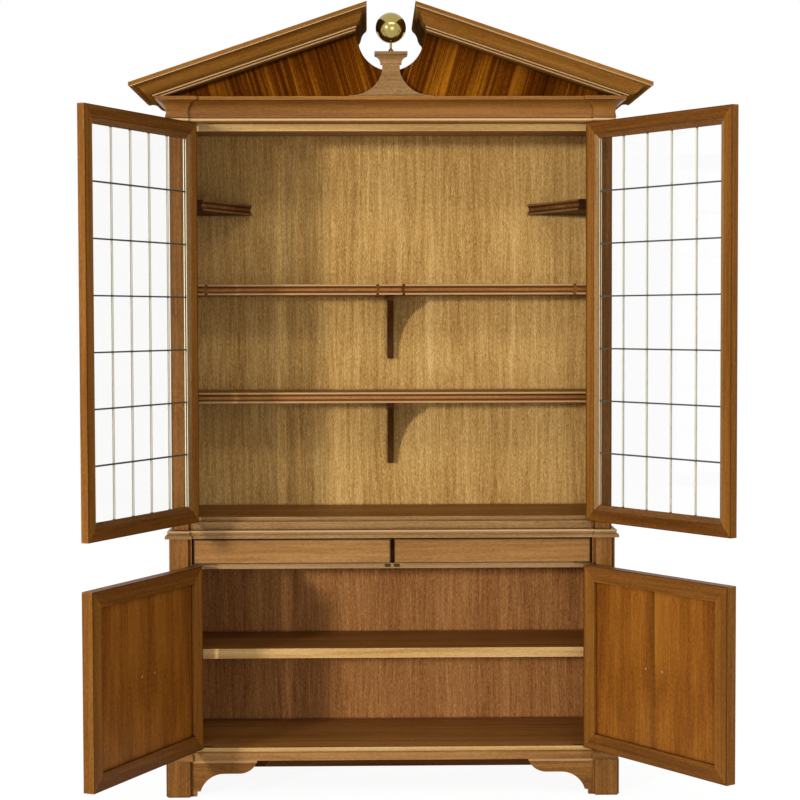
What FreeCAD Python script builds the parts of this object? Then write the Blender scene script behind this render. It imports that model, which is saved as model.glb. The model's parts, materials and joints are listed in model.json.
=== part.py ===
"""A tall glazed cabinet: a cupboard base with two drawers, and a hutch with a broken pediment.

+X is to the right, +Y to the back, +Z up. The origin is on the floor, in the middle of the base.
The doors stand open, at the angles of the sizes below.
"""
import FreeCAD, Part
import math
import os
import re
from types import SimpleNamespace

doc = FreeCAD.newDocument("TallCabinet")

# Driving sizes, in millimetres and degrees
SIZES = {
    # carcass
    "base_depth": 400,
    "hutch_setback": 18,
    "opening_width": 1128,
    "side_board": 20,
    "back_board": 10,
    "pilaster_reveal": 9.5,
    "base_pilaster_width": 44.5,
    "base_pilaster_return": 10,
    "hutch_pilaster_width": 41,
    "hutch_pilaster_return": 6.5,
    "pilaster_proud": 10,
    # feet and plinth
    "foot_height": 101,
    "foot_overhang": 11.5,
    "foot_depth": 74,
    "foot_inset": 1.5,
    "foot_facing_thick": 10,
    "foot_facing_inset": 5.5,
    "rear_foot_size": 50,
    "base_moulding_height": 23,
    "base_moulding_proud": 9,
    "base_moulding_flat": 15,
    "base_moulding_neck": 2,
    "bracket_length": 183,
    "bracket_thick": 20,
    "bracket_band": 37,
    "bracket_flat": 43,
    "bracket_nose": 51,
    "bracket_hollow": 67,
    "bracket_toe_height": 14,
    "bracket_toe_step": 12,
    "cleat_thick": 20,
    "cleat_drop": 27,
    "cleat_end_gap": 4,
    # cupboard
    "floor_lip": 12,
    "floor_board": 22,
    "rail_height": 16,
    "rail_depth": 60,
    "door_stop_gap": 3,
    "strike_width": 16,
    "strike_height": 8,
    "strike_thick": 1.2,
    "strike_spacing": 26,
    "lower_shelf_height": 238,
    "lower_shelf_thick": 28,
    "lower_shelf_setback": 90,
    "shelf_side_gap": 1,
    "shelf_pin_radius": 3,
    "shelf_pin_length": 14,
    "shelf_pin_inset": 40,
    # drawers
    "drawer_front_height": 68,
    "drawer_front_thick": 20,
    "drawer_lift": 1.5,
    "drawer_head_gap": 3.5,
    "drawer_side_gap": 5,
    "drawer_middle_gap": 10,
    "drawer_box_inset": 8,
    "drawer_back_gap": 40,
    "drawer_box_rise": 3,
    "drawer_box_drop": 8,
    "drawer_board": 12,
    "drawer_base_thick": 6,
    "drawer_base_rise": 8,
    "drawer_run_gap": 0.3,
    "runner_gap": 1,
    "runner_bearing": 15,
    "divider_thick": 8,
    "divider_setback": 26,
    # waist
    "base_top_board": 22,
    "waist_proud": 10,
    "waist_lip": 5,
    "waist_bead": 6,
    "waist_neck": 3,
    # hutch
    "hutch_plinth_height": 22,
    "hutch_floor_rise": 11.5,
    "hutch_floor_thick": 14,
    "hutch_top_board": 20,
    "top_rail_height": 21,
    "top_rail_thick": 20,
    "cornice_height": 70,
    "cornice_proud": 34,
    "cornice_fillet": 10,
    "cornice_bead": 13,
    "cornice_foot": 6,
    "cornice_quirk": 3,
    # shelves: the straight one over the hutch floor, the stepped one over it, the corner ones under the rail
    "shelf_thick": 31,
    "shelf_lip": 5,
    "shelf_cove": 7,
    "straight_shelf_height": 316,
    "straight_shelf_depth": 200,
    "stepped_shelf_height": 314,
    "stepped_shelf_depth": 190,
    "step_proud": 11,
    "step_run": 9,
    "step_end_width": 58,
    "step_middle_width": 60,
    "corner_shelf_height": 218,
    "corner_shelf_setback": 70,
    "corner_shelf_front": 61,
    "corner_shelf_back": 181.5,
    "shelf_bracket_thick": 17,
    "shelf_bracket_drop": 188,
    "shelf_bracket_reach": 150,
    "shelf_bracket_toe": 24,
    "shelf_bracket_nose": 16,
    "shelf_bracket_hollow": 34,
    # doors
    "upper_door_height": 1116,
    "lower_door_height": 516.5,
    "upper_door_thick": 22,
    "lower_door_thick": 32,
    "door_side_gap": 1.5,
    "door_meeting_gap": 3,
    "pivot_side": 1,
    "upper_frame_flat": 31,
    "upper_frame_sight": 16,
    "upper_frame_face": 8,
    "upper_frame_bevel": 7,
    "upper_frame_bevel_drop": 5,
    "glass_thick": 3,
    "bead_sink": 2.5,
    "bead_edge": 3.5,
    "came_width": 4,
    "came_thick": 1.6,
    "lower_frame_width": 44,
    "lower_frame_back": 10,
    "panel_thick": 10,
    "panel_tongue": 8,
    "panel_play": 1,
    "upper_left_angle": 115,
    "upper_right_angle": 125.2,
    "lower_left_angle": 114.7,
    "lower_right_angle": 124.6,
    # hinges
    "hinge_leaf": 2,
    "hinge_gap": 0.5,
    "hinge_length": 52,
    "hinge_reach": 14,
    "hinge_arm": 12,
    "hinge_arm_front": 1,
    "hinge_arm_clear": 1.8,
    "hinge_eye_radius": 4.2,
    "hinge_eye_gap": 0.3,
    "hinge_pin_radius": 2,
    "hinge_pin_play": 0.05,
    "rail_hinge_bearing": 25,
    # pulls
    "pull_span": 64,
    "pull_bar_radius": 4,
    "pull_rose_radius": 9,
    "pull_rose_thick": 2.5,
    "pull_screw_radius": 2,
    "pull_screw_play": 0.2,
    "pull_head_radius": 4,
    "pull_head_thick": 2,
    # pediment
    "crown_proud": 101,
    "crown_height": 63,
    "crown_fascia": 9,
    "crown_fillet": 4,
    "crown_soffit": 35,
    "crown_bead": 5,
    "crown_reed": 3.4,
    "crown_tip_rise": 31,
    "crown_inner_end": 67,
    "crown_inner_return": 50,
    "cut_overrun": 5,
    "pediment_rise": 221,
    "roof_board": 12,
    "cheek_board": 14,
    "tympanum_thick": 18,
    "bite_radius": 92,
    "bite_rise": 166.5,
    "pedestal_width": 234,
    "pedestal_neck": 49,
    "pedestal_height": 90.5,
    "pedestal_thick": 26,
    "pedestal_toe": 4,
    "pedestal_flare": 70,
    "pedestal_hollow": 21,
    "cap_width": 92,
    "cap_depth": 64,
    "cap_height": 32,
    "cap_lip": 7,
    "cap_hollow": 5,
    "ball_radius": 42.3,
    "ball_seat_depth": 0.6,
    "stem_height": 27,
    "stem_radius": 3.2,
    "stem_foot_radius": 10,
    "stem_foot_height": 12,
}

# Places worked out from the sizes
PLACES = {
    "base_front": "-base_depth/2",
    "base_back": "base_depth/2",
    "hutch_front": "base_front + hutch_setback",
    "back_inside": "base_back - back_board",
    "opening": "opening_width/2",
    "pilaster_inner": "opening + pilaster_reveal",
    "base_pilaster_outer": "pilaster_inner + base_pilaster_width",
    "hutch_pilaster_outer": "pilaster_inner + hutch_pilaster_width",
    "base_half": "base_pilaster_outer + base_pilaster_return",
    "hutch_half": "hutch_pilaster_outer + hutch_pilaster_return",
    "base_inside": "base_half - side_board",
    "hutch_inside": "hutch_half - side_board",
    "base_stile_back": "base_front + lower_door_thick",
    "hutch_stile_back": "hutch_front + upper_door_thick",
    "foot_inner": "opening + foot_inset",
    "foot_outer": "base_half + foot_overhang",
    "foot_front": "base_front - foot_overhang",
    "base_moulding_top": "foot_height + base_moulding_height",
    "floor_top": "base_moulding_top + floor_lip",
    "floor_under": "floor_top - floor_board",
    "lower_door_bottom": "floor_top + hinge_leaf + hinge_gap",
    "lower_door_top": "lower_door_bottom + lower_door_height",
    "rail_top": "lower_door_top + hinge_gap",
    "rail_front": "base_stile_back + door_stop_gap",
    "lower_shelf_level": "floor_top + lower_shelf_height",
    "drawer_bottom": "rail_top + hinge_leaf + drawer_lift",
    "drawer_top": "drawer_bottom + drawer_front_height",
    "drawer_outer": "opening - drawer_side_gap",
    "drawer_inner": "drawer_middle_gap/2",
    "drawer_front_back": "base_front + drawer_front_thick",
    "box_outer": "drawer_outer - drawer_box_inset",
    "box_inner": "drawer_inner + drawer_box_inset",
    "box_bottom": "drawer_bottom + drawer_box_rise",
    "box_top": "drawer_top - drawer_box_drop",
    "box_back": "back_inside - drawer_back_gap",
    "runner_top": "box_bottom - drawer_run_gap",
    "runner_front": "rail_front + rail_hinge_bearing + runner_gap",
    "base_top_under": "drawer_top + drawer_head_gap",
    "base_top_level": "base_top_under + base_top_board",
    "plinth_top": "base_top_level + hutch_plinth_height",
    "hutch_floor_top": "plinth_top + hutch_floor_rise",
    "upper_door_bottom": "plinth_top + hinge_leaf + hinge_gap",
    "upper_door_top": "upper_door_bottom + upper_door_height",
    "frieze_bottom": "upper_door_top + hinge_gap + hinge_leaf",
    "cornice_top": "frieze_bottom + cornice_height",
    "hutch_stop": "hutch_stile_back + door_stop_gap",
    "top_rail_under": "frieze_bottom - top_rail_height",
    "straight_shelf_level": "hutch_floor_top + straight_shelf_height",
    "stepped_shelf_level": "straight_shelf_level + stepped_shelf_height",
    "corner_shelf_level": "top_rail_under - corner_shelf_height",
    "door_width": "opening - door_side_gap - door_meeting_gap/2",
    "door_start": "pivot_side + door_side_gap",
    "pivot_place": "opening + pivot_side",
    "pivot_forward": "hinge_eye_radius + hinge_eye_gap",
    "sight_width": "upper_frame_flat + upper_frame_sight",
    "upper_door_inside": "pivot_forward + upper_door_thick",
    "lower_door_inside": "pivot_forward + lower_door_thick",
    "glass_back": "upper_door_thick - upper_frame_face - glass_thick",
    "glass_front": "upper_door_thick - upper_frame_face",
    "panel_front": "lower_frame_back + panel_thick",
    "panel_edge": "lower_frame_width - panel_tongue + panel_play",
    "pull_height": "lower_door_bottom + lower_door_height/2",
    "crown_tip": "hutch_half + crown_proud",
    "crown_tip_level": "cornice_top + crown_tip_rise",
    "rake": "pediment_rise/(crown_tip - crown_inner_end)",
    "crown_inner_face": "crown_inner_end + crown_inner_return",
    "roof_eave_level": "crown_tip_level + rake*(crown_tip - hutch_half)",
    "roof_inner_level": "crown_tip_level + rake*(crown_tip - crown_inner_face)",
    "side_top": "roof_eave_level - roof_board",
    "bite_level": "cornice_top + bite_rise",
    "pedestal_top": "cornice_top + pedestal_height",
    "cap_top": "pedestal_top + cap_height",
    "finial_place": "hutch_front - pedestal_thick/2",
    "ball_level": "cap_top + stem_height + ball_radius - ball_seat_depth",
}

COVE_SHARE = 0.22
SHELF_COVE_SHARE = 0.8
CYMA_SHARE = 0.12
BEAD_SHARE = 0.27
OGEE_SHARE = 0.1
QUARTER_SAG_SHARE = math.sqrt(2) / 2 - 1 / 2
HALF_TURN = 180
QUARTER_TURN = 90
REED_COUNT = 3
PANE_COLUMNS = 5
PANE_ROWS = 7

nodes = []


def bound(text, own=None):
    """Write the names in a formula as references to the sheet that holds them."""
    def reference(match):
        word = match.group(0)
        if word in SIZES:
            return "Sizes." + word
        if word in PLACES:
            return word if own == "Places" else "Places." + word
        return word
    return re.sub(r"[A-Za-z_]\w*", reference, text)


def make_sheet(name, cells):
    sheet = doc.addObject("Spreadsheet::Sheet", name)
    for row, (alias, content) in enumerate(cells.items(), start=1):
        sheet.set(f"A{row}", alias)
        sheet.set(f"B{row}", content)
        sheet.setAlias(f"B{row}", alias)
    doc.recompute()
    return sheet


sizes = make_sheet("Sizes", {name: str(value) for name, value in SIZES.items()})
places = make_sheet("Places", {name: "=" + bound(text, "Places") for name, text in PLACES.items()})
S = SimpleNamespace()
for cell in SIZES:
    setattr(S, cell, float(sizes.get(cell)))
for cell in PLACES:
    setattr(S, cell, float(places.get(cell)))


def bind(thing, **formulas):
    """Tie properties of an object to the sheets. Double underscores stand for dots."""
    for name, text in formulas.items():
        thing.setExpression(name.replace("__", "."), bound(text))


def settle(thing, x="0", y="0", z="0"):
    bind(thing, Placement__Base__x=x, Placement__Base__y=y, Placement__Base__z=z)


def node(label, thing):
    """Keep an object as a sub-part of its own."""
    thing.Label = label
    nodes.append(thing)
    return thing


def board(name, x, y, z):
    """A square-edged board between two planes on each axis."""
    piece = doc.addObject("Part::Box", name)
    bind(piece, Length=f"({x[1]}) - ({x[0]})", Width=f"({y[1]}) - ({y[0]})", Height=f"({z[1]}) - ({z[0]})")
    settle(piece, x[0], y[0], z[0])
    return piece


def rod(name, radius, length, x, y, z, turn=None):
    """A round bar along +Z from its base, or along another axis after a turn."""
    piece = doc.addObject("Part::Cylinder", name)
    bind(piece, Radius=radius, Height=length)
    if turn:
        piece.Placement = FreeCAD.Placement(FreeCAD.Vector(), turn)
    settle(piece, x, y, z)
    return piece


def group(label, pieces):
    """Separate solids that share a sub-part."""
    whole = doc.addObject("Part::Compound", label)
    whole.Links = pieces
    return whole


def joined(name, pieces):
    whole = doc.addObject("Part::MultiFuse", name)
    whole.Shapes = pieces
    whole.Refine = True
    return whole


def cut(name, base, tool):
    rest = doc.addObject("Part::Cut", name)
    rest.Base = base
    rest.Tool = tool
    return rest


def mirrored(name, source):
    """The copy of a piece on the other side of the middle plane."""
    copy = doc.addObject("Part::Mirroring", name)
    copy.Source = source
    copy.Normal = FreeCAD.Vector(1, 0, 0)
    return copy


def both_sides(name, x, y, z):
    """The same board on the left and on the right."""
    return [board(name + "_left", (f"-({x[1]})", f"-({x[0]})"), y, z), board(name + "_right", x, y, z)]


def pair(label, x, y, z):
    return node(label, group(label, both_sides(label, x, y, z)))


def flat(x, y):
    return FreeCAD.Vector(x, y, 0)


def outline(points, place=flat):
    """Lines and arcs through points. A third number on a point is the sag of the arc that ends there."""
    curves = []
    for index, point in enumerate(points):
        start = points[index - 1]
        ends = (place(start[0], start[1]), place(point[0], point[1]))
        sag = point[2] if len(point) > 2 else 0
        if not sag:
            curves.append(Part.LineSegment(*ends))
            continue
        across, up = point[0] - start[0], point[1] - start[1]
        lean = sag / math.hypot(across, up)
        middle = place((start[0] + point[0]) / 2 - up * lean, (start[1] + point[1]) / 2 + across * lean)
        curves.append(Part.Arc(ends[0], middle, ends[1]))
    return curves


def pad(name, role, points, thickness):
    """A body padded from an outline on one of its origin planes."""
    body = doc.addObject("PartDesign::Body", name)
    plane = next(f for f in body.Origin.OriginFeatures if f.Role == role)
    sketch = body.newObject("Sketcher::SketchObject", name + "_outline")
    sketch.AttachmentSupport = (plane, [""])
    sketch.MapMode = "FlatFace"
    for curve in outline(points):
        sketch.addGeometry(curve, False)
    solid = body.newObject("PartDesign::Pad", name + "_pad")
    solid.Profile = sketch
    bind(solid, Length=thickness)
    return body


def profile_wire(points, place):
    """A closed profile, set in space by the place of each of its points."""
    return Part.Wire([curve.toShape() for curve in outline(points, place)])


def feature(name, shape):
    piece = doc.addObject("Part::Feature", name)
    piece.Shape = shape
    piece.Placement = FreeCAD.Placement()
    return piece


def run_moulding(path, level, profile):
    """A moulding along a plan path, mitred at each corner. The profile stands out to the path's right."""
    corners = [FreeCAD.Vector(x, y, level) for x, y in path]
    heading = (corners[1] - corners[0]).normalize()
    aside = heading.cross(FreeCAD.Vector(0, 0, 1))
    section = profile_wire(profile, lambda out, up: corners[0] + aside * out + FreeCAD.Vector(0, 0, up))
    return Part.makePolygon(corners).makePipeShell([section], True, False, 1)


def broken_path(half, front):
    """Plan path from the back round the front, stepping forward over the pilasters."""
    proud = front - S.pilaster_proud
    left = [(-half, S.base_back), (-half, proud), (-S.pilaster_inner, proud), (-S.pilaster_inner, front)]
    return left + [(-x, y) for x, y in reversed(left)]


def level_sag(across, up):
    """Sag of an arc that reaches this far across and up, and runs level at one of its ends."""
    return math.hypot(across, up) / 2 * math.tan(math.atan2(up, across) / 2)


# Base carcass
def base_carcass():
    upright = ("foot_height", "base_top_under")
    inside = ("-base_inside", "base_inside")
    stile_y = ("base_front", "base_stile_back")
    pair("base_sides", ("base_inside", "base_half"), ("base_stile_back", "base_back"), upright)
    pair("base_stiles", ("opening", "base_half"), stile_y, upright)
    node("base_back", board("base_back", inside, ("back_inside", "base_back"), upright))
    floor_z = ("floor_under", "floor_top")
    floor = board("floor_main", inside, ("base_stile_back", "back_inside"), floor_z)
    lip = board("floor_lip_strip", ("-opening", "opening"), stile_y, floor_z)
    node("base_floor", joined("base_floor", [floor, lip]))
    node("base_rail", board("base_rail", ("-opening", "opening"), stile_y, ("foot_height", "floor_under")))
    reach = "foot_inner - cleat_end_gap"
    node("front_cleat", board("front_cleat", (f"-({reach})", reach),
                              ("base_stile_back", "base_stile_back + cleat_thick"),
                              ("foot_height - cleat_drop", "floor_under")))
    top_z = ("base_top_under", "base_top_level")
    top = board("top_main", ("-base_half", "base_half"), ("base_front", "base_back"), top_z)
    ears = both_sides("top_ear", ("pilaster_inner", "base_half"),
                      ("base_front - pilaster_proud", "base_front"), top_z)
    node("base_top", joined("base_top", [top] + ears))


def pilasters():
    """Flat strips on the stiles of the base and of the hutch."""
    low = both_sides("base_pilaster", ("pilaster_inner", "base_pilaster_outer"),
                     ("base_front - pilaster_proud", "base_front"), ("foot_height", "base_top_under"))
    high = both_sides("hutch_pilaster", ("pilaster_inner", "hutch_pilaster_outer"),
                      ("hutch_front - pilaster_proud", "hutch_front"), ("base_top_level", "cornice_top"))
    node("pilasters", group("pilasters", low + high))


def base_mouldings():
    flat, tall = S.base_moulding_flat, S.base_moulding_height
    proud, neck = S.base_moulding_proud, S.base_moulding_neck
    sag = QUARTER_SAG_SHARE * math.hypot(proud - neck, tall - flat)
    foot = [(0, 0), (proud, 0), (proud, flat), (neck, tall, -sag), (0, tall)]
    node("base_moulding", feature("base_moulding",
         run_moulding(broken_path(S.base_half, S.base_front), S.foot_height, foot)))
    bead = S.waist_bead
    neck = S.base_top_board - bead
    middle_out = (S.waist_proud + S.waist_neck) / 2
    middle_up = (S.waist_lip + neck) / 2
    sag = OGEE_SHARE * (neck - S.waist_lip)
    waist = [(0, 0), (S.waist_proud, 0), (S.waist_proud, S.waist_lip), (middle_out, middle_up, -sag),
             (S.waist_neck, neck, sag), (S.waist_neck, S.base_top_board, -BEAD_SHARE * bead),
             (0, S.base_top_board)]
    node("waist_moulding", feature("waist_moulding",
         run_moulding(broken_path(S.base_half, S.base_front), S.base_top_under, waist)))


def feet():
    """Front foot blocks with their facings, and plain rear feet."""
    tall = ("0", "foot_height")
    blocks = both_sides("foot_block", ("foot_inner", "foot_outer"),
                        ("foot_front", "foot_front + foot_depth"), tall)
    facings = both_sides("foot_facing", ("foot_inner + foot_facing_inset", "foot_outer - foot_facing_inset"),
                         ("foot_front - foot_facing_thick", "foot_front"), tall)
    rear = both_sides("rear_foot", ("base_half - rear_foot_size", "base_half"),
                      ("base_back - rear_foot_size", "base_back"), tall)
    node("feet", group("feet", blocks + facings + rear))


def foot_brackets():
    """Scrolled brackets that run inward from the front feet."""
    inner, end = S.foot_inner, S.foot_inner - S.bracket_length
    top, under = S.foot_height, S.foot_height - S.bracket_band
    nose = end + S.bracket_nose
    flat = nose + S.bracket_flat
    toe = inner - S.bracket_toe_step
    rise = under - S.bracket_toe_height
    points = [(inner, 0), (inner, top), (end, top),
              (nose, under, -level_sag(S.bracket_nose, S.bracket_band)), (flat, under),
              (flat + S.bracket_hollow, S.bracket_toe_height, level_sag(S.bracket_hollow, rise)),
              (toe, S.bracket_toe_height), (toe, 0)]
    right = pad("foot_bracket_right", "XZ_Plane", points, "bracket_thick")
    settle(right, y="base_front - base_moulding_proud + bracket_thick")
    node("foot_brackets", group("foot_brackets", [mirrored("foot_bracket_left", right), right]))


# Cupboard fittings
def cupboard_fittings():
    node("drawer_rail", board("drawer_rail", ("-base_inside", "base_inside"),
                              ("rail_front", "rail_front + rail_depth"),
                              ("rail_top - rail_height", "rail_top")))
    middle = "rail_top - rail_height/2"
    pair("catch_strikes", ("strike_spacing/2 - strike_width/2", "strike_spacing/2 + strike_width/2"),
         ("rail_front - strike_thick", "rail_front"),
         (f"{middle} - strike_height/2", f"{middle} + strike_height/2"))
    runner_y = ("runner_front", "back_inside")
    runner_z = ("rail_top", "runner_top")
    bearing = "drawer_board + runner_bearing"
    reach = f"box_outer - ({bearing})"
    runners = [board("runner_left", ("-base_inside", f"-({reach})"), runner_y, runner_z),
               board("runner_right", (reach, "base_inside"), runner_y, runner_z),
               board("runner_middle", (f"-(box_inner + {bearing})", f"box_inner + {bearing}"), runner_y,
                     runner_z)]
    divider = board("divider", ("-divider_thick/2", "divider_thick/2"),
                    ("base_front + divider_setback", "back_inside"), ("runner_top", "base_top_under"))
    node("drawer_framing", group("drawer_framing", runners + [divider]))


def lower_shelf():
    side = "base_inside - shelf_side_gap"
    front = "base_front + lower_shelf_setback"
    node("lower_shelf", board("lower_shelf", (f"-({side})", side), (front, "back_inside"),
                              ("lower_shelf_level", "lower_shelf_level + lower_shelf_thick")))
    pins = []
    for sign, turn in (("-", QUARTER_TURN), ("", -QUARTER_TURN)):
        for place in (f"{front} + shelf_pin_inset", "back_inside - shelf_pin_inset"):
            pins.append(rod(f"pin{len(pins)}", "shelf_pin_radius", "shelf_pin_length",
                            f"{sign}(base_inside)", place, "lower_shelf_level - shelf_pin_radius",
                            FreeCAD.Rotation(FreeCAD.Vector(0, 1, 0), turn)))
    node("shelf_pins", group("shelf_pins", pins))


# Drawers
def drawer(side, sign):
    """One drawer: its front, and the box behind it."""
    def span(near, far):
        return (near, far) if sign > 0 else (f"-({far})", f"-({near})")
    node(f"{side}_drawer_front", board(f"{side}_drawer_front", span("drawer_inner", "drawer_outer"),
                                       ("base_front", "drawer_front_back"), ("drawer_bottom", "drawer_top")))
    box_y = ("drawer_front_back", "box_back")
    box_z = ("box_bottom", "box_top")
    inside = span("box_inner + drawer_board", "box_outer - drawer_board")
    walls = [board(f"{side}_box_outer", span("box_outer - drawer_board", "box_outer"), box_y, box_z),
             board(f"{side}_box_inner", span("box_inner", "box_inner + drawer_board"), box_y, box_z),
             board(f"{side}_box_back", inside, ("box_back - drawer_board", "box_back"), box_z),
             board(f"{side}_box_base", inside, ("drawer_front_back", "box_back - drawer_board"),
                   ("box_bottom + drawer_base_rise", "box_bottom + drawer_base_rise + drawer_base_thick"))]
    node(f"{side}_drawer_box", group(f"{side}_drawer_box", walls))


# Hutch carcass
def hutch_carcass():
    stile_y = ("hutch_front", "hutch_stile_back")
    pair("hutch_sides", ("hutch_inside", "hutch_half"), ("hutch_stile_back", "base_back"),
         ("base_top_level", "side_top"))
    pair("hutch_stiles", ("opening", "hutch_half"), stile_y, ("base_top_level", "frieze_bottom"))
    inside = ("-hutch_inside", "hutch_inside")
    node("hutch_plinth", board("hutch_plinth", ("-opening", "opening"), stile_y,
                               ("base_top_level", "plinth_top")))
    node("hutch_floor", board("hutch_floor", inside, ("hutch_stop", "back_inside"),
                              ("hutch_floor_top - hutch_floor_thick", "hutch_floor_top")))
    node("hutch_back", board("hutch_back", inside, ("back_inside", "base_back"),
                             ("base_top_level", "cornice_top")))
    node("frieze", board("frieze", ("-hutch_half", "hutch_half"), stile_y, ("frieze_bottom", "cornice_top")))
    node("hutch_top", board("hutch_top", inside, ("hutch_stile_back", "back_inside"),
                            ("frieze_bottom", "frieze_bottom + hutch_top_board")))
    node("top_rail", board("top_rail", inside, ("hutch_stop", "hutch_stop + top_rail_thick"),
                           ("top_rail_under", "frieze_bottom")))


def cornice():
    foot, bead, quirk = S.cornice_foot, S.cornice_bead, S.cornice_quirk
    neck = foot + quirk
    brow = S.cornice_height - S.cornice_fillet
    start = bead + quirk
    sag = COVE_SHARE * math.hypot(S.cornice_proud - quirk - neck, brow - start)
    points = [(0, 0), (foot, 0), (foot, bead, -BEAD_SHARE * bead), (neck, bead), (neck, start),
              (S.cornice_proud - quirk, brow, sag), (S.cornice_proud, brow),
              (S.cornice_proud, S.cornice_height), (0, S.cornice_height)]
    node("cornice", feature("cornice",
         run_moulding(broken_path(S.hutch_half, S.hutch_front), S.frieze_bottom, points)))


# Shelves of the hutch
def moulded_shelf(name, front_path, level):
    """A shelf between the front path and the back board, with a hollow moulded edge."""
    lip, cove, thick = S.shelf_lip, S.shelf_cove, S.shelf_thick
    edge = [(0, 0), (cove, 0), (cove, lip), (cove, thick - lip, SHELF_COVE_SHARE * cove), (cove, thick),
            (0, thick)]
    moulding = run_moulding(front_path, level, edge)
    plan = [FreeCAD.Vector(x, y, level) for x, y in front_path]
    plan += [FreeCAD.Vector(front_path[-1][0], S.back_inside, level)]
    plan += [FreeCAD.Vector(front_path[0][0], S.back_inside, level), plan[0]]
    distinct = [p for i, p in enumerate(plan) if i == 0 or (p - plan[i - 1]).Length > 0]
    core = Part.Face(Part.makePolygon(distinct)).extrude(FreeCAD.Vector(0, 0, thick))
    return feature(name, core.fuse(moulding).removeSplitter())


def hutch_shelves():
    inside = S.hutch_inside
    front = S.back_inside - S.straight_shelf_depth + S.shelf_cove
    node("straight_shelf", moulded_shelf("straight_shelf", [(-inside, front), (inside, front)],
                                         S.straight_shelf_level))
    hollow = S.back_inside - S.stepped_shelf_depth + S.shelf_cove
    proud = hollow - S.step_proud
    end = inside - S.step_end_width
    half = S.step_middle_width / 2
    left = [(-inside, proud), (-end, proud), (-end + S.step_run, hollow), (-half - S.step_run, hollow),
            (-half, proud)]
    path = left + [(-x, y) for x, y in reversed(left)]
    node("stepped_shelf", moulded_shelf("stepped_shelf", path, S.stepped_shelf_level))
    near = S.hutch_stop + S.corner_shelf_setback + S.shelf_cove
    corner = [(-inside, near), (-inside + S.corner_shelf_front, near),
              (-inside + S.corner_shelf_back, S.back_inside)]
    left_shelf = moulded_shelf("corner_shelf_left", corner, S.corner_shelf_level)
    keep = board("corner_keep", ("-hutch_inside", "0"), ("hutch_stop", "back_inside"),
                 ("corner_shelf_level", "corner_shelf_level + shelf_thick"))
    trimmed = doc.addObject("Part::Common", "corner_shelf_trimmed")
    trimmed.Base = left_shelf
    trimmed.Tool = keep
    node("corner_shelves", group("corner_shelves", [trimmed, mirrored("corner_shelf_right", trimmed)]))


def shelf_brackets():
    """A hollow-fronted bracket under the middle of each long shelf."""
    reach, drop = S.shelf_bracket_reach, S.shelf_bracket_drop
    toe, nose = S.shelf_bracket_toe, S.shelf_bracket_nose
    brackets = []
    for name, level in (("straight", "straight_shelf_level"), ("stepped", "stepped_shelf_level")):
        points = [(0, 0), (-reach, 0), (-reach, -nose), (-toe, -drop, S.shelf_bracket_hollow), (0, -drop)]
        bracket = pad(name + "_bracket", "YZ_Plane", points, "shelf_bracket_thick")
        settle(bracket, x="-shelf_bracket_thick/2", y="back_inside", z=level)
        brackets.append(bracket)
    node("shelf_brackets", group("shelf_brackets", brackets))


# Doors
def place_door(piece, level, side):
    """Turn a piece of a door, built shut about its pivot, to where the door stands."""
    sign = "-" if side == "left" else ""
    front = "base_front" if level == "lower" else "hutch_front"
    settle(piece, f"{sign}pivot_place", f"{front} - pivot_forward")
    bind(piece, Placement__Rotation__Angle=f"{sign}{level}_{side}_angle")


def door_left_edge(side):
    return "door_start" if side == "left" else "-(door_start + door_width)"


def mitred_frame(name, side, bottom, height, inside, layers, pockets=None):
    """Four mitred members. Each layer gives its span across the member, and its span of thickness."""
    left = door_left_edge(side)
    stand = FreeCAD.Rotation(FreeCAD.Vector(1, 0, 0), QUARTER_TURN)
    right = f"{left} + door_width"
    top = f"{bottom} + {height}"
    members = []
    for k, (length, x, z) in enumerate((("door_width", left, bottom), (height, right, bottom),
                                        ("door_width", right, top), (height, left, top))):
        parts = []
        for w0, w1, n0, n1, n1_end in layers:
            part = doc.addObject("Part::Wedge", f"{name}_{k}_{len(parts)}")
            bind(part, Xmin=w0, Xmax=f"{length} - ({w0})", X2min=w1, X2max=f"{length} - ({w1})",
                 Ymin=w0, Ymax=w1, Zmin=n0, Zmax=n1, Z2min=n0, Z2max=n1_end)
            turn = stand.multiply(FreeCAD.Rotation(FreeCAD.Vector(0, 0, 1), k * QUARTER_TURN))
            part.Placement = FreeCAD.Placement(FreeCAD.Vector(), turn)
            settle(part, x, inside, z)
            parts.append(part)
        member = joined(f"{name}_{k}", parts) if len(parts) > 1 else parts[0]
        if pockets:
            member = cut(f"{name}_{k}_let_in", member, pockets)
        members.append(member)
    return members


def hinge_plate(name, side, low, high, reach, pin=None, hole=None):
    """A flat leaf with an eye round the pivot. A fixed leaf has a pin, and a door's leaf its hole."""
    def span(near, far):
        return (near, far) if side == "left" else (f"-({far})", f"-({near})")
    thick = f"({high}) - ({low})"
    parts = [rod(name + "_eye", "hinge_eye_radius", thick, "0", "0", low),
             board(name + "_arm", span("hinge_arm_clear", "hinge_arm"),
                   ("-hinge_arm_front", "pivot_forward"), (low, high)),
             board(name + "_leaf", span("door_start", "hinge_length"),
                   ("pivot_forward", f"pivot_forward + {reach}"), (low, high))]
    if pin:
        parts.append(rod(name + "_pin", "hinge_pin_radius", f"({pin[1]}) - ({pin[0]})", "0", "0", pin[0]))
    plate = joined(name, parts)
    if hole:
        plate = cut(name + "_bored", plate,
                    rod(name + "_hole", "hinge_pin_radius + hinge_pin_play", thick, "0", "0", low))
    return plate


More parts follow.
